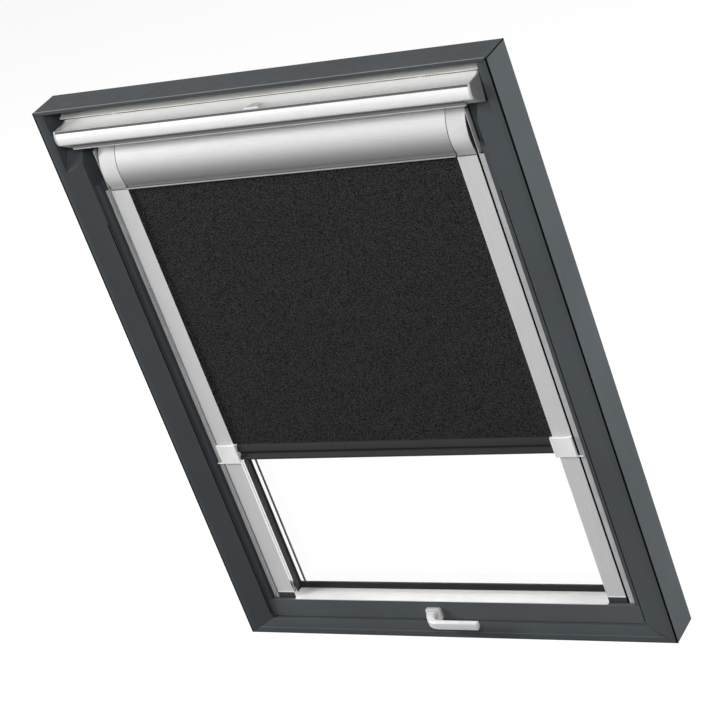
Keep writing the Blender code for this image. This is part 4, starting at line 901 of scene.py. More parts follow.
def end_outline(node: str, grow: float) -> list[Spot]:
    """The outer outline of a node seen along X.

    Args:
        node: The CAD node.
        grow: How far the outline stands proud of the node.

    Returns:
        The (y, z) points of its convex outline.
    """
    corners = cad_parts[node].data.vertices
    spots = sorted({tuple(round(value, OUTLINE_DECIMALS) for value in corner.co.yz) for corner in corners})
    outline = []
    for order in (spots, spots[::-1]):
        chain = []
        for spot in order:
            while len(chain) > 1 and (
                (chain[-1][0] - chain[-2][0]) * (spot[1] - chain[-2][1])
                <= (chain[-1][1] - chain[-2][1]) * (spot[0] - chain[-2][0])
            ):
                chain.pop()
            chain.append(spot)
        outline += chain[:-1]
    middle_y, middle_z = (sum(values) / len(outline) for values in zip(*outline))
    grown = []
    for y, z in outline:
        way = Vector((y - middle_y, z - middle_z)).normalized()
        grown.append((y + way.x * grow, z + way.y * grow))
    return grown


def arc(start: Spot, end: Spot, bulge: float, steps: int) -> list[Spot]:
    """Points of a shallow arc, without its start.

    Args:
        start: Where it starts.
        end: Where it ends.
        bulge: How far its middle stands to the left of the straight way.
        steps: The number of points.

    Returns:
        The points up to the end.
    """
    along, up = end[0] - start[0], end[1] - start[1]
    length = math.hypot(along, up)
    points = []
    for index in range(1, steps + 1):
        share = index / steps
        rise = 4.0 * bulge * share * (1.0 - share) / length
        points.append((start[0] + along * share - up * rise, start[1] + up * share + along * rise))
    return points


# Sub-assemblies

@dataclass
class SubAssembly:
    """CAD nodes with their coatings, and the pieces that are added to them."""

    coatings: tuple[Coating, ...] = ()

    def build(self) -> Made:
        """Dresses the nodes and adds the new pieces.

        Returns:
            The new pieces.
        """
        for coating in self.coatings:
            coating.apply()
        return self.pieces()

    def pieces(self) -> Made:
        """The new pieces, if there are any."""
        return []


@dataclass
class OuterFrame(SubAssembly):
    """The fixed frame: head, sill, two stiles, their corner seams, painted shade along the gaps and painted
    highlights along the edges.
    """

    seam_on_rim: float = 0.0021
    seam_on_side: float = 0.0019
    seam_on_head: float = 0.0032
    proud: float = 0.00015
    edge_width: float = 0.0018
    edge_setback: float = 0.0008
    sill_rim: float = 0.0115
    sill_edge_inset: float = 0.0184
    gap_depth: float = 0.0075
    gap_width: float = 0.0014
    gap_ends: Spot = (0.034, 0.780)
    slope: float = 0.21
    coatings: tuple[Coating, ...] = (
        Coating(("frame_head",), FRAME_COAT, 0.0012, 3),
        Coating(("frame_sill", "frame_stile_left", "frame_stile_right"), FRAME_COAT, 0.0006, 3),
        Coating(("lock_keeper", "pivot_pin_left", "pivot_pin_right"), STEEL),
    )

    def pieces(self) -> Made:
        """The seams, the painted shade along the gaps and the painted edge highlights."""
        trim = [make(side) for side in Side for make in (self.seam, self.gap_seal)]
        return trim + [self.head_edge(), self.sill_edge()]

    def head_edge(self) -> bpy.types.Object:
        """A painted highlight: the lighter strip along the front of the head's top.

        Returns:
            The edge.
        """
        low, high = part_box("frame_head")
        inset, front = self.seam_on_head, low.y + self.edge_setback
        edge = boxes("head_edge", HEAD_HIGHLIGHT_COAT, (
            (low.x + inset, front, high.z - self.proud),
            (high.x - inset, front + self.edge_width, high.z + self.proud / 2),
        ))
        return mount(edge, Body.FRAME, Slot.FRAME_LACQUER)

    def sill_edge(self) -> bpy.types.Object:
        """A painted highlight: the lighter strip where the sill's rim turns into its slope.

        Returns:
            The edge.
        """
        low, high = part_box("frame_sill")
        inset, rise, half = self.sill_edge_inset, low.z + self.sill_rim, self.edge_width / 2
        edge = boxes("sill_edge", SILL_HIGHLIGHT_COAT, (
            (low.x + inset, low.y - self.proud / 2, rise - half),
            (high.x - inset, low.y + self.proud, rise + half),
        ))
        return mount(edge, Body.FRAME, Slot.FRAME_LACQUER)

    def seam(self, side: Side) -> bpy.types.Object:
        """The black joint line along a stile's outer corner and over its head end.

        Args:
            side: The side of the window.

        Returns:
            The seam.
        """
        low, high = box = side.box("frame_stile")
        edge, proud, top = side.outer(box), self.proud, high.z + self.proud
        half = self.seam_on_head / 2
        section = (
            (proud, -proud), (-self.seam_on_rim, -proud), (-self.seam_on_rim, proud),
            (-proud, proud), (-proud, self.seam_on_side), (proud, self.seam_on_side),
        )
        flat = (
            (proud, top), (-half, top), (-half, high.z - proud),
            (-proud, high.z - proud), (-proud, high.z - half), (proud, high.z - half),
        )
        mesh = bmesh.new()
        loop = [Vector((side.out(edge, x), low.y + y, low.z)) for x, y in section]
        add_prism(mesh, loop, Vector((0.0, 0.0, top - low.z)))
        loop = [Vector((side.out(edge, x), low.y, z)) for x, z in flat]
        add_prism(mesh, loop, Vector((0.0, high.y - low.y, 0.0)))
        return mount(piece(side.node("corner_seam"), mesh, JOINT_AND_SHADE_BLACK), Body.FRAME, Slot.RUBBER)

    def gap_seal(self, side: Side) -> bpy.types.Object:
        """A dark strip of painted shade on the frame's inner edge, along the gap round the sash.

        Args:
            side: The side of the window.

        Returns:
            The seal.
        """
        low, _ = box = side.box("frame_stile")
        edge, proud, width = side.inner(box), self.proud, self.gap_width
        fall = width * self.slope
        foot, head = self.gap_ends
        section = (
            (proud, proud), (-proud, proud), (-proud, -proud),
            (width, -fall - proud), (width, -fall + proud),
        )
        loop = [Vector((side.out(edge, x), low.y + self.gap_depth + y, foot)) for x, y in section]
        mesh = bmesh.new()
        add_prism(mesh, loop, Vector((0.0, 0.0, head - foot)))
        return mount(piece(side.node("gap_seal"), mesh, JOINT_AND_SHADE_BLACK), Body.FRAME, Slot.RUBBER)


@dataclass
class Sash(SubAssembly):
    """The sash: stiles, head panel, bottom rail, the strip on its ledge and the vent strip."""

    coatings: tuple[Coating, ...] = (
        Coating(("sash_stile_left", "sash_stile_right"), SASH_COAT, 0.0005, 3),
        Coating(("sash_bottom_rail",), BOTTOM_RAIL_LIT_COAT, 0.0005, 3),
        Coating(("sash_head",), SASH_COAT, 0.0005),
        Coating(("sill_strip",), LEDGE_METAL),
        Coating(("vent_strip",), VENT_PLASTIC, 0.0004),
    )


@dataclass
class GlassUnit(SubAssembly):
    """Two panes with spacers, the gasket, the side seals and the outside covers."""

    proud: float = 0.0003
    seal_gap: float = 0.00002
    seal_depth: float = 0.0126
    margin: float = 0.0001
    cover_edge_ends: Spot = (0.0660, 0.8792)
    coatings: tuple[Coating, ...] = (
        Coating(("glass_inner", "glass_outer"), GLASS, 0.0),
        Coating(("spacer_left", "spacer_right", "spacer_top", "spacer_bottom"), SPACER_METAL, 0.0004),
        Coating(("glazing_gasket",), RUBBER, 0.0004),
        Coating(
            ("glazing_cover_left", "glazing_cover_right", "glazing_cover_top", "glazing_cover_bottom"),
            COVER_COAT, 0.0005, 3,
        ),
    )

    def pieces(self) -> Made:
        """The seals and bright edges beside the glass."""
        return [make(side) for side in Side for make in (self.side_seal, self.cover_edge)]

    def side_seal(self, side: Side) -> bpy.types.Object:
        """The black seal along a side of the opening, from the blind's rail to the gasket.

        Args:
            side: The side of the window.

        Returns:
            The seal.
        """
        low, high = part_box("glazing_gasket")
        edge = side.inner(side.box("sash_stile"))
        seal = boxes(side.node("side_seal"), RUBBER, (
            (side.out(edge, -self.seal_gap), low.y - self.seal_depth, low.z),
            (side.out(edge, -self.proud), low.y - self.margin, high.z),
        ))
        return mount(seal, Body.SASH, Slot.RUBBER)

    def cover_edge(self, side: Side) -> bpy.types.Object:
        """The bright folded edge of an outside cover, seen through the glass.

        Args:
            side: The side of the window.

        Returns:
            The edge.
        """
        low, high = box = side.box("glazing_cover")
        edge, (foot, head) = side.inner(box), self.cover_edge_ends
        fold = boxes(side.node("cover_edge"), LINING_METAL, (
            (edge, low.y + self.margin, foot), (side.out(edge, -self.proud), high.y - self.margin, head),
        ))
        return mount(fold, Body.SASH, Slot.STEEL)


@dataclass
class ControlBar(SubAssembly):
    """The bar along the head that opens the window, with its ends, lip, catch and brackets."""

    end_rise: float = 0.0001
    end_edge: float = 0.0007
    end_dips: tuple[Spot, ...] = ((-0.0075, -0.0029), (-0.0038, -0.0022))  # from the back of the end's top
    mouldings: tuple[Moulding, ...] = (
        Moulding(  # painted shade: a dark strip in the groove between the trough and the nose
            "bar_groove", "control_bar", True,
            ((0.0035, -0.0048), (0.00305, -0.0048), (0.00265, -0.0082), (0.0031, -0.0082)), SHADE_AND_JOINT_METAL,
        ),
        Moulding(  # painted shade: a dark line between the nose and the lip under it
            "bar_under_line", "control_bar_lip", True,
            ((0.0, 0.0004), (-0.00025, -0.0001), (0.00095, -0.0028), (0.0014, -0.0026)), SHADE_AND_JOINT_METAL,
        ),
        Moulding(  # painted highlight: a bright strip along the foot of the lip
            "bar_lip_edge", "control_bar_lip", False,
            ((0.0039, 0.0022), (0.0043, 0.0006), (0.0057, 0.0002), (0.0057, 0.0016)), HIGHLIGHT_METAL,
        ),
    )
    coatings: tuple[Coating, ...] = (
        Coating(("control_bar",), BAR_METAL, 0.0004, 3),
        Coating(("control_bar_lip",), LIP_SHADE_METAL),
        Coating(("control_bar_catch",), CAP_METAL, 0.0006, 3),
        Coating(("bar_bracket_left", "bar_bracket_right", "bar_pin_left", "bar_pin_right"), STEEL),
    )

    def pieces(self) -> Made:
        """The bar's ends, the painted shade in its groove and under its nose, and the painted highlight along
        its lip.
        """
        ends = [self.end(side) for side in Side]
        return ends + [mount(strip.make(), Body.VENT_BAR, Slot.SATIN_METAL) for strip in self.mouldings]

    def end(self, side: Side) -> bpy.types.Object:
        """The wedge-shaped cap on an end of the bar, nearly straight along its top.

        Args:
            side: The end.

        Returns:
            The cap.
        """
        name = side.node("control_bar_end")
        low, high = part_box(name)
        loop = end_outline(name, self.end_rise)
        back, front = sorted(loop, key=lambda spot: spot[1], reverse=True)[:2]
        dips = [(back[0] + y, back[1] + z) for y, z in self.end_dips]
        place = loop.index(back)
        if loop[place - 1] == front:
            loop[place:place] = dips
        else:
            loop[place + 1:place + 1] = dips[::-1]
        cap = beam(side.node("bar_end"), BAR_END_METAL, loop, low.x - self.end_rise, high.x)
        soften(cap, self.end_edge, ROUND_FACETS)
        return mount(cap, Body.VENT_BAR, Slot.SATIN_METAL, name)


@dataclass
class Cassette(SubAssembly):
    """The blind's cassette with its caps, roller and wound cloth."""

    turns: int = 5
    steps: int = 36
    wrap_thickness: float = 0.0005
    seam_width: float = 0.0009
    seam_rise: float = 0.00012
    seam_shift: float = 0.00015
    disc_reach: Spot = (-0.0004, 0.0011)
    disc_inset: float = 0.0012
    disc_edge: float = 0.0003
    foot_line: Spot = (0.0011, 0.0002)  # how far the line reaches under and over the rail's top
    line_edge: float = 0.0001
    line_back: float = 0.0010
    bead_centre: Spot = (0.0006, 0.0012)
    bead_radii: Spot = (0.0010, 0.0012)
    bead_points: int = 14
    # painted shade: a dark strip along the groove above the shell's foot
    groove: Moulding = Moulding(
        "cassette_groove", "cassette_shell", False,
        ((-0.0001, 0.0026), (0.0008, 0.0026), (0.0008, 0.0040), (-0.0001, 0.0040)), SHADE_AND_JOINT_METAL,
    )
    coatings: tuple[Coating, ...] = (
        Coating(("cassette_shell",), CASSETTE_METAL),
        Coating(("cassette_cap_left", "cassette_cap_right"), CAP_METAL, 0.0005, 3),
        Coating(("roller_tube", "roller_pin_left", "roller_pin_right"), STEEL, 0.0),
        Coating(("roller_plug_left", "roller_plug_right"), GREY_PLASTIC),
    )

    def pieces(self) -> Made:
        """The cassette's trim and the cloth on the roller.

        Returns:
            The new pieces.
        """
        trim = [make(side) for side in Side for make in (self.cap_seam, self.end_disc, self.cap_foot_line)]
        trim += [self.wound_cloth(), self.lip_bead()]
        return trim + [mount(self.groove.make(), Body.SASH, Slot.SATIN_METAL)]

    def cap_seam(self, side: Side) -> bpy.types.Object:
        """The dark joint between the shell and a cap.

        Args:
            side: The end.

        Returns:
            The joint line.
        """
        middle = side.outer(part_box("cassette_shell")) + self.seam_shift
        half = self.seam_width / 2
        loop = end_outline(side.node("cassette_cap"), self.seam_rise)
        seam = beam(side.node("cap_seam"), JOINT_AND_SHADE_BLACK, loop, middle - half, middle + half)
        return mount(seam, Body.SASH, Slot.RUBBER)

    def end_disc(self, side: Side) -> bpy.types.Object:
        """Painted shade: a dark plate over the outer face of a cap.

        Args:
            side: The end.

        Returns:
            The plate.
        """
        name = side.node("cassette_cap")
        face = side.outer(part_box(name))
        first, last = sorted(side.out(face, reach) for reach in self.disc_reach)
        disc = beam(side.node("cap_disc"), FOOT_PLASTIC, end_outline(name, -self.disc_inset), first, last)
        soften(disc, self.disc_edge)
        return mount(disc, Body.SASH, Slot.RUBBER)

    def cap_foot_line(self, side: Side) -> bpy.types.Object:
        """The dark joint between a cap and the rail under it.

        Args:
            side: The side.

        Returns:
            The joint line.
        """
        low, high = side.box("guide_rail")
        (under, over), edge = self.foot_line, self.line_edge
        line = boxes(side.node("cap_foot_line"), SHADE_AND_JOINT_METAL, (
            (low.x + edge, low.y - edge, high.z - under),
            (high.x - edge, high.y - self.line_back, high.z + over),
        ))
        return mount(line, Body.SASH, Slot.RUBBER)

    def lip_bead(self) -> bpy.types.Object:
        """The rounded bead along the foot of the shell.

        Returns:
            The bead.
        """
        low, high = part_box("cassette_shell")
        (y, z), (across, up) = self.bead_centre, self.bead_radii
        angles = [math.tau * index / self.bead_points for index in range(self.bead_points)]
        loop = [(low.y + y + across * math.cos(angle), low.z + z + up * math.sin(angle)) for angle in angles]
        bead = beam("cassette_bead", BEAD_METAL, loop, low.x, high.x)
        smooth(bead)
        return mount(bead, Body.SASH, Slot.SATIN_METAL)

    def wound_cloth(self) -> bpy.types.Object:
        """The cloth wound on the tube, as one spiral layer on another.

        Returns:
            The wound cloth.
        """
        low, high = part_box("fabric_roll")
        tube_low, tube_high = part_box("roller_tube")
        centre = (low + high) / 2
        centre.x = low.x
        inner = (tube_high.y - tube_low.y) / 2 + self.wrap_thickness
        outer = (high.y - low.y) / 2
        count = self.turns * self.steps
        outside, inside = [], []
        for index in range(count + 1):
            angle = math.tau * index / self.steps
            radius = inner + (outer - inner) * index / count
            way = Vector((0.0, math.cos(angle), math.sin(angle)))
            outside.append(centre + way * radius)
            inside.append(centre + way * (radius - self.wrap_thickness))
        loop = outside + inside[::-1]
        reach = Vector((high.x - low.x, 0.0, 0.0))
        mesh = bmesh.new()
        first, second = ([mesh.verts.new(point + shift) for point in loop] for shift in (Vector(), reach))
        total = len(loop)
        for index in range(total):
            after = (index + 1) % total
            mesh.faces.new((first[index], first[after], second[after], second[index]))
        for row in (first, second):
            for index in range(count):
                mesh.faces.new((row[index], row[index + 1], row[total - 2 - index], row[total - 1 - index]))
        roll = piece("wound_cloth", mesh, CLOTH)
        smooth(roll)
        return mount(roll, Body.ROLLER, Slot.CLOTH, "fabric_roll")


@dataclass
class Rails(SubAssembly):
    """The guide rails, the foot pieces under them and the strips beside them."""

    strip_thickness: float = 0.0015
    channel: float = 0.0020
    strip_cut: float = 0.0125
    strip_edge: float = 0.0002
    wedge_gap: float = 0.0014
    wedge_inset: float = 0.0012
    wedge_depths: Spot = (0.0004, 0.0014)
    lining_faces: Spot = (0.00001, 0.00018)
    lining_margin: float = 0.0002
    lining_top: float = 0.0014
    slot: Spot = (-0.0096, -0.0074)
    felt_gap: float = 0.00005
    felt_side: float = 0.0006
    shade_back: float = 0.0011
    shade_depth: float = 0.0012
    ledge_top: float = 0.001
    foot_front: Spot = (0.0003, 0.0004)
    foot_rise: Spot = (0.0012, 0.0009)
    coatings: tuple[Coating, ...] = (
        Coating(("guide_rail_left", "guide_rail_right"), RAIL_METAL),
        Coating(("rail_end_left", "rail_end_right"), FOOT_PLASTIC, 0.0004),
    )

    def pieces(self) -> Made:
        """The strips, the painted highlights under them, the linings, the painted shade in the channels and
        the foot trims.
        """
        makers = self.strip, self.strip_foot, self.rail_lining, self.rail_felt, self.foot_line, self.ledge_end
        return [make(side) for side in Side for make in makers]

    def strip(self, side: Side) -> bpy.types.Object:
        """The thin angle beside a rail: its face stops under the cassette, and its leg runs on up.

        Args:
            side: The side.

        Returns:
            The strip.
        """
        low, high = box = side.box("side_strip")
        top = side.box("guide_rail")[1].z
        outer, inner = side.outer(box), side.out(side.inner(box), self.channel)
        thick = self.strip_thickness
        leg = side.out(inner, thick)
        face = (outer, low.z), (inner, low.z + self.strip_cut), (inner, top), (outer, top)
        mesh = bmesh.new()
        add_prism(mesh, [Vector((x, low.y, z)) for x, z in face], Vector((0.0, thick, 0.0)))
        add_box(mesh, (inner, low.y + thick, low.z), (leg, high.y, top))
        add_box(mesh, (inner, low.y, top), (leg, high.y, high.z))
        strip = piece(side.node("edge_strip"), mesh, STRIP_METAL)
        soften(strip, self.strip_edge)
        return mount(strip, Body.SASH, Slot.RAIL_METAL, side.node("side_strip"))

    def strip_foot(self, side: Side) -> bpy.types.Object:
        """A painted highlight: a small bright wedge under the cut end of a strip.

        Args:
            side: The side.

        Returns:
            The wedge.
        """
        low, _ = box = side.box("side_strip")
        outer = side.out(side.outer(box), -self.wedge_inset)
        inner = side.out(side.inner(box), self.channel)
        front, back = self.wedge_depths
        corners = (outer, low.z), (inner, low.z), (inner, low.z + self.strip_cut - self.wedge_gap)
        mesh = bmesh.new()
        add_prism(mesh, [Vector((x, low.y + front, z)) for x, z in corners], Vector((0.0, back - front, 0.0)))
        return mount(piece(side.node("strip_foot"), mesh, HIGHLIGHT_METAL), Body.SASH, Slot.RAIL_METAL)

    def rail_lining(self, side: Side) -> bpy.types.Object:
        """The polished inner side of a rail, in front of and behind the slot for the cloth.

        Args:
            side: The side.

        Returns:
            The lining.
        """
        low, high = box = side.box("guide_rail")
        first, last = (side.out(side.inner(box), -face) for face in self.lining_faces)
        margin, foot, head = self.lining_margin, low.z + self.lining_margin, high.z - self.lining_top
        halves = (low.y + margin, self.slot[0]), (self.slot[1], high.y - margin)
        corners = [((first, front, foot), (last, back, head)) for front, back in halves]
        return mount(boxes(side.node("rail_lining"), LINING_METAL, *corners), Body.SASH, Slot.RAIL_METAL)

    def rail_felt(self, side: Side) -> bpy.types.Object:
        """Painted shade: a black sheet in the channel between a rail and its strip.

        Args:
            side: The side.

        Returns:
            The felt.
        """
        low, high = box = side.box("guide_rail")
        foot = side.box("rail_end")[0].z + self.lining_margin
        near, side_face, back_face = (
            side.out(side.outer(box), reach)
            for reach in (self.felt_gap, self.felt_side, self.channel + self.shade_back)
        )
        felt = boxes(
            side.node("rail_felt"), JOINT_AND_SHADE_BLACK,
            ((near, low.y + self.felt_side, foot), (side_face, high.y, high.z)),
            ((near, high.y - self.shade_depth, foot), (back_face, high.y, high.z)),
        )
        return mount(felt, Body.SASH, Slot.RUBBER)

    def foot_line(self, side: Side) -> bpy.types.Object:
        """The bright line across the top of a rail's foot.

        Args:
            side: The side.

        Returns:
            The line.
        """
        low, high = side.box("rail_end")
        (out, back), (under, over) = self.foot_front, self.foot_rise
        line = boxes(side.node("foot_line"), WHITE_PLASTIC, (
            (low.x, low.y - out, high.z - under), (high.x, low.y + back, high.z + over),
        ))
        return mount(line, Body.SASH, Slot.PLASTIC)

    def ledge_end(self, side: Side) -> bpy.types.Object:
        """The bright lining at the end of the ledge, beside a rail's foot.

        Args:
            side: The side.

        Returns:
            The lining.
        """
        low, high = box = side.box("rail_end")
        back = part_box("sill_strip")[1].y - self.lining_margin
        first, last = (side.out(side.inner(box), -face) for face in self.lining_faces)
        lining = boxes(side.node("ledge_end"), LINING_METAL, (
            (first, low.y + self.lining_margin, low.z), (last, back, high.z - self.ledge_top),
        ))
        return mount(lining, Body.SASH, Slot.PLASTIC)


@dataclass
class Blind(SubAssembly):
    """The hanging cloth, its bottom bar and the two sliders."""

    cloth_columns: int = 48
    bar_foot: float = 0.0030
    bar_edge: float = 0.0002
    slider_edge: float = 0.0005
    bar_arcs: tuple[tuple[float, bool, float, float, int], ...] = (
        # depth behind the front, True from the top, rise, bulge, points
        (0.0000, False, 0.0038, 0.0008, 6),
        (0.0012, False, 0.0062, 0.0002, 4),
        (0.0056, False, 0.0104, -0.0006, 8),
        (0.0003, True, -0.0108, -0.0008, 10),
        (0.0030, True, -0.0012, 0.0007, 10),
        (0.0046, True, 0.0000, 0.0004, 4),
    )
    plate: float = 0.0042
    plate_grid: tuple[int, int] = (12, 10)
    dip: float = 0.0011
    dish: float = 0.00066
    dish_fade: float = 0.3
    overlap: float = 0.0002
    body_gap: float = 0.0003
    cloth_gap: float = 0.0033
    tongue_reach: float = 0.0087
    tongue_depths: Spot = (-0.0091, -0.0079)
    foot_overlap: float = 0.0010
    foot_reach: float = 0.0102
    foot_height: float = 0.0014
    foot_setback: float = 0.0008

    def pieces(self) -> Made:
        """The cloth, the bar and the sliders."""
        return [self.hanging_cloth(), self.bar()] + [self.slider(side) for side in Side]

    def hanging_cloth(self) -> bpy.types.Object:
        """The cloth, stretched flat from inside the cassette to the bottom bar.

        Returns:
            The cloth.
        """
        low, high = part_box("fabric")
        mesh = bmesh.new()
        rows = [
            [
                mesh.verts.new((low.x + (high.x - low.x) * index / self.cloth_columns, y, z))
                for index in range(self.cloth_columns + 1)
            ]
            for y, z in ((low.y, low.z), (low.y, high.z), (high.y, high.z), (high.y, low.z))
        ]
        for row, after in zip(rows, rows[1:] + rows[:1]):
            for index in range(self.cloth_columns):
                mesh.faces.new((row[index], row[index + 1], after[index + 1], after[index]))
        for end in (0, self.cloth_columns):
            mesh.faces.new([row[end] for row in rows])
        cloth = piece("hanging_cloth", mesh, CLOTH)
        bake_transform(cloth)
        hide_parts("fabric")
        return cloth

    def bar(self) -> bpy.types.Object:
        """The bottom bar: a round upper half, a hollow under it and a ridge along its foot.

        Returns:
            The bar.
        """
        low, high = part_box("bottom_bar")
        loop = [(high.y, low.z), (low.y + self.bar_foot, low.z)]
        for depth, from_top, rise, bulge, points in self.bar_arcs:
            level = high.z if from_top else low.z
            loop += arc(loop[-1], (low.y + depth, level + rise), bulge, points)
        loop.append((high.y, high.z))
        bar = beam("hollow_bar", BAR_BLACK, loop, low.x, high.x)
        soften(bar, self.bar_edge)
        return mount(bar, Body.BLIND_BAR, Slot.BAR_BLACK, "bottom_bar")

    def slider_plate(self, mesh: bmesh.types.BMesh, side: Side) -> None:
        """Adds a slider's face plate, dished in front and dipped along its top.

        Args:
            mesh: The slider's mesh.
            side: The side.
        """
        low, high = box = side.box("slider")
        outer, inner, back = side.outer(box), side.inner(box), low.y + self.plate
        columns, rows = self.plate_grid
        grid = []
        for row in range(rows + 1):
            v = row / rows
            depth = self.dish * (1.0 - self.dish_fade * (2.0 * v - 1.0) ** 2)
            line = []
            for column in range(columns + 1):
                u = column / columns
                dish = depth * (1.0 - (2.0 * u - 1.0) ** 2)
                top = high.z - self.dip * math.sin(math.pi * u)
                line.append((inner + (outer - inner) * u, low.y + dish, low.z + (top - low.z) * v))
            grid.append(line)
        front = [[mesh.verts.new(point) for point in line] for line in grid]
        rear = [[mesh.verts.new((x, back, z)) for x, _, z in line] for line in grid]
        for skin in (front, rear):
            for one, other in zip(skin, skin[1:]):
                for column in range(columns):
                    mesh.faces.new((one[column], one[column + 1], other[column + 1], other[column]))
        rim = [(0, column) for column in range(columns)] + [(row, columns) for row in range(rows)]
        rim += [(rows, column) for column in range(columns, 0, -1)] + [(row, 0) for row in range(rows, 0, -1)]
        for (row, column), (after, beside) in zip(rim, rim[1:] + rim[:1]):
            mesh.faces.new((
                front[row][column], front[after][beside], rear[after][beside], rear[row][column],
            ))

    def slider(self, side: Side) -> bpy.types.Object:
        """A slider: a face plate, a body behind it, a tongue in the slot, and a thin outer foot.

        Args:
            side: The side.

        Returns:
            The slider.
        """
        low, high = box = side.box("slider")
        outer, inner = side.outer(box), side.inner(box)
        rail = side.inner(side.box("guide_rail"))
        near, tip = side.out(rail, -self.body_gap), side.out(rail, self.tongue_reach)
        back, cloth_top = low.y + self.plate - self.overlap, high.z - self.cloth_gap
        front, rear = self.tongue_depths
        mesh = bmesh.new()
        self.slider_plate(mesh, side)
        add_box(mesh, (inner, back, low.z), (near, high.y, cloth_top))
        add_box(mesh, (near, front, low.z), (tip, rear, cloth_top))
        add_box(
            mesh, (side.out(outer, -self.foot_overlap), low.y + self.foot_setback, low.z),
            (side.out(outer, self.foot_reach), back, low.z + self.foot_height),
        )
        slider = piece(side.node("slide_block"), mesh, WHITE_PLASTIC)
        soften(slider, self.slider_edge, ROUND_FACETS)
        return mount(slider, Body.BLIND_BAR, Slot.PLASTIC, side.node("slider"))


@dataclass
class Handle(SubAssembly):
    """The latch handle on the bottom rail, with its plate, lever and latch."""

    ring_points: int = 32
    squareness: float = 4.5
    path: tuple[tuple[float, float, float, float, float], ...] = (
        # across, out, turn in degrees, width, height
        (-0.0030, 0.0000, 0.0, 0.0180, 0.0128),
        (-0.0026, 0.0035, 6.0, 0.0168, 0.0124),
        (-0.0010, 0.0085, 18.0, 0.0136, 0.0124),
        (0.0018, 0.0138, 34.0, 0.0122, 0.0126),
        (0.0062, 0.0190, 52.0, 0.0118, 0.0130),
        (0.0120, 0.0228, 72.0, 0.0108, 0.0134),
        (0.0190, 0.0243, 88.0, 0.0102, 0.0135),
        (0.0300, 0.0244, 90.0, 0.0100, 0.0135),
        (0.0600, 0.0244, 90.0, 0.0100, 0.0135),
    )
    end_rounding: tuple[Spot, ...] = ((0.0012, 1.0), (0.0005, 0.985), (0.0001, 0.95), (0.0, 0.90))
    coatings: tuple[Coating, ...] = (
        Coating(("handle_rose",), HANDLE_METAL, 0.0009, 4),
        Coating(("handle_spindle", "latch_cam", "latch_case"), STEEL),
    )

    def ring(self, middle: Vector, turn: float, width: float, height: float) -> list[Vector]:
        """A ring with soft corners, square to the way that the lever runs.

        Args:
            middle: The ring's centre.
            turn: The way that the lever runs there, in degrees from straight out of the window.
            width: Its size across, in plan.
            height: Its upright size.

        Returns:
            The ring's points.
        """
        heading = math.radians(turn)
        across = Vector((math.cos(heading), math.sin(heading), 0.0))
        power = 2.0 / self.squareness
        points = []
        for index in range(self.ring_points):
            angle = math.tau * index / self.ring_points
            cosine, sine = math.cos(angle), math.sin(angle)
            side = math.copysign(abs(cosine) ** power, cosine) * width / 2
            rise = math.copysign(abs(sine) ** power, sine) * height / 2
            points.append(middle + across * side + Vector((0.0, 0.0, rise)))
        return points

    def pieces(self) -> Made:
        """The lever, which grows out of its flared neck and ends in a flat, softly rounded face.

        Returns:
            The lever.
        """
        low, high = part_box("handle_lever")
        spindle_low, spindle_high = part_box("handle_spindle")
        axis, rise = (spindle_low.x + spindle_high.x) / 2, (low.z + high.z) / 2
        rings = [
            self.ring(Vector((axis + across, high.y - out, rise)), turn, width, height)
            for across, out, turn, width, height in self.path
        ]
        _, out, turn, width, height = self.path[-1]
        for inset, share in self.end_rounding:
            middle = Vector((high.x - inset, high.y - out, rise))
            rings.append(self.ring(middle, turn, width * share, height * share))
        mesh = bmesh.new()
        add_rings(mesh, rings)
        lever = piece("lever", mesh, HANDLE_METAL)
        smooth(lever)
        return [mount(lever, Body.HANDLE, Slot.HANDLE_METAL, "handle_lever")]


# Studio

@dataclass
class PhotoCamera:
    """The camera that sees the window as the photo does."""

    lens: float = 119.175
    sensor: float = 36.0
    clip: Spot = (0.05, 50.0)
    place: Point = (1.92727438, -2.58858526, 2.07217587)
    rows: tuple[Point, Point, Point] = (
        (0.842323, 0.039313, 0.537537),
        (0.435149, 0.538873, -0.721291),
        (-0.318020, 0.841469, 0.436798),
    )

    def build(self) -> None:
        """Makes the camera and gives it to the scene."""
        data = bpy.data.cameras.new("photo_camera")
        data.lens, data.sensor_width = self.lens, self.sensor
        data.clip_start, data.clip_end = self.clip
        camera = bpy.data.objects.new("photo_camera", data)
        camera.matrix_world = Matrix.Translation(self.place) @ Matrix(self.rows).to_4x4()
        bpy.context.scene.collection.objects.link(camera)
        bpy.context.scene.camera = camera


@dataclass(frozen=True)
class Lamp:
    """A soft rectangular white lamp that faces a point on the window."""

    name: str
    place: Point
    size: Spot
    watts: float
    target: Point = (0.0, 0.0, 0.5)

    def build(self) -> None:
        """Hangs the lamp."""
        data = bpy.data.lights.new(self.name, "AREA")
        data.shape = "RECTANGLE"
        data.size, data.size_y = self.size
        data.energy = self.watts
        lamp = bpy.data.objects.new(self.name, data)
        lamp.location = self.place
        lamp.rotation_euler = (Vector(self.target) - Vector(self.place)).to_track_quat("-Z", "Y").to_euler()
        bpy.context.scene.collection.objects.link(lamp)


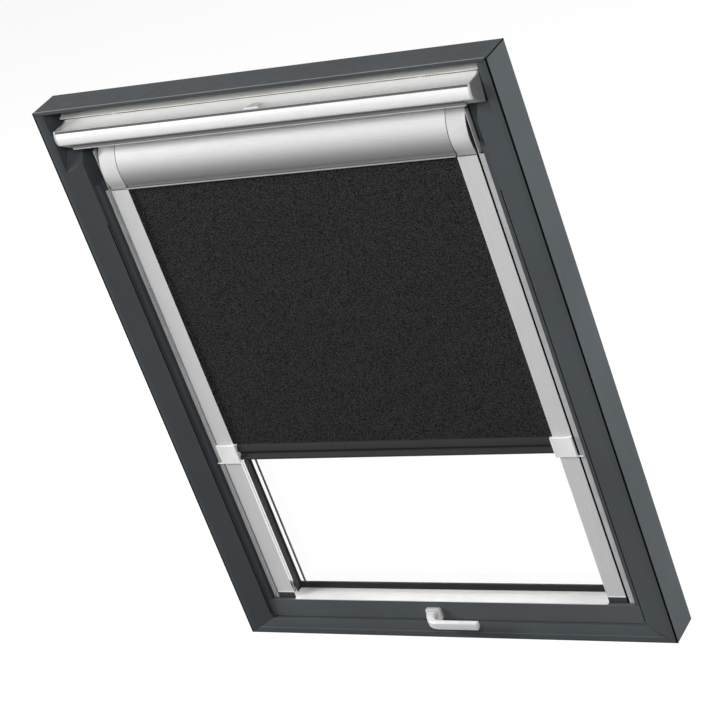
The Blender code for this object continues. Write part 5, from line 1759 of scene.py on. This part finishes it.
@dataclass
class Studio:
    """A pale floor, a white surround and soft lamps."""

    floor_size: float = 40.0
    floor_gap: float = 0.0002
    ambient: float = 0.03
    lamps: tuple[Lamp, ...] = (
        Lamp("key_lamp", (-3.4, -1.15, 1.75), (1.2, 1.2), 104.0),
        Lamp("high_lamp", (-3.4, -1.25, 2.7), (1.3, 1.3), 50.0),
        Lamp("front_lamp", (1.5, -2.4, 2.5), (1.2, 1.2), 60.0),
        Lamp("side_lamp", (3.0, 1.4, 1.2), (1.4, 2.0), 108.0),
    )

    def build(self) -> None:
        """Makes the floor, the surround and the lamps."""
        half = self.floor_size / 2
        mesh = bmesh.new()
        corners = (-half, -half), (half, -half), (half, half), (-half, half)
        mesh.faces.new([mesh.verts.new((x, y, 0.0)) for x, y in corners])
        floor = piece("floor", mesh, FLOOR)
        floor.location.z = CAD_BOX[0].z - self.floor_gap
        self.surround()
        for lamp in self.lamps:
            lamp.build()

    def surround(self) -> None:
        """The world: white to the camera, in reflections and through glass, and an even soft light."""
        world = bpy.data.worlds.new("studio")
        bpy.context.scene.world = world
        world.use_nodes = True
        board = NodeBoard(world.node_tree, "ShaderNodeOutputWorld")
        paths = board.add("ShaderNodeLightPath").outputs
        direct = board.math("MAXIMUM", paths["Is Camera Ray"], paths["Is Transmission Ray"])
        shown = board.math("MAXIMUM", direct, paths["Is Glossy Ray"])
        soft = board.add("ShaderNodeBackground", Color=WHITE, Strength=self.ambient)
        white = board.add("ShaderNodeBackground", Color=WHITE, Strength=1.0)
        board.show(board.mix(shown, soft, white))


def main() -> None:
    """Builds the studio and every sub-assembly, and reports each piece."""
    logging.basicConfig(level=logging.INFO, format="%(name)s: %(message)s")
    bpy.context.scene.view_settings.view_transform = "Standard"
    PhotoCamera().build()
    Studio().build()
    for assembly in (OuterFrame(), Sash(), GlassUnit(), ControlBar(), Cassette(), Rails(), Blind(), Handle()):
        for obj in assembly.build():
            LOG.info("%s: %s", type(assembly).__name__, obj.name)
        LOG.info("%s: built", type(assembly).__name__)


if __name__ == "__main__":
    main()
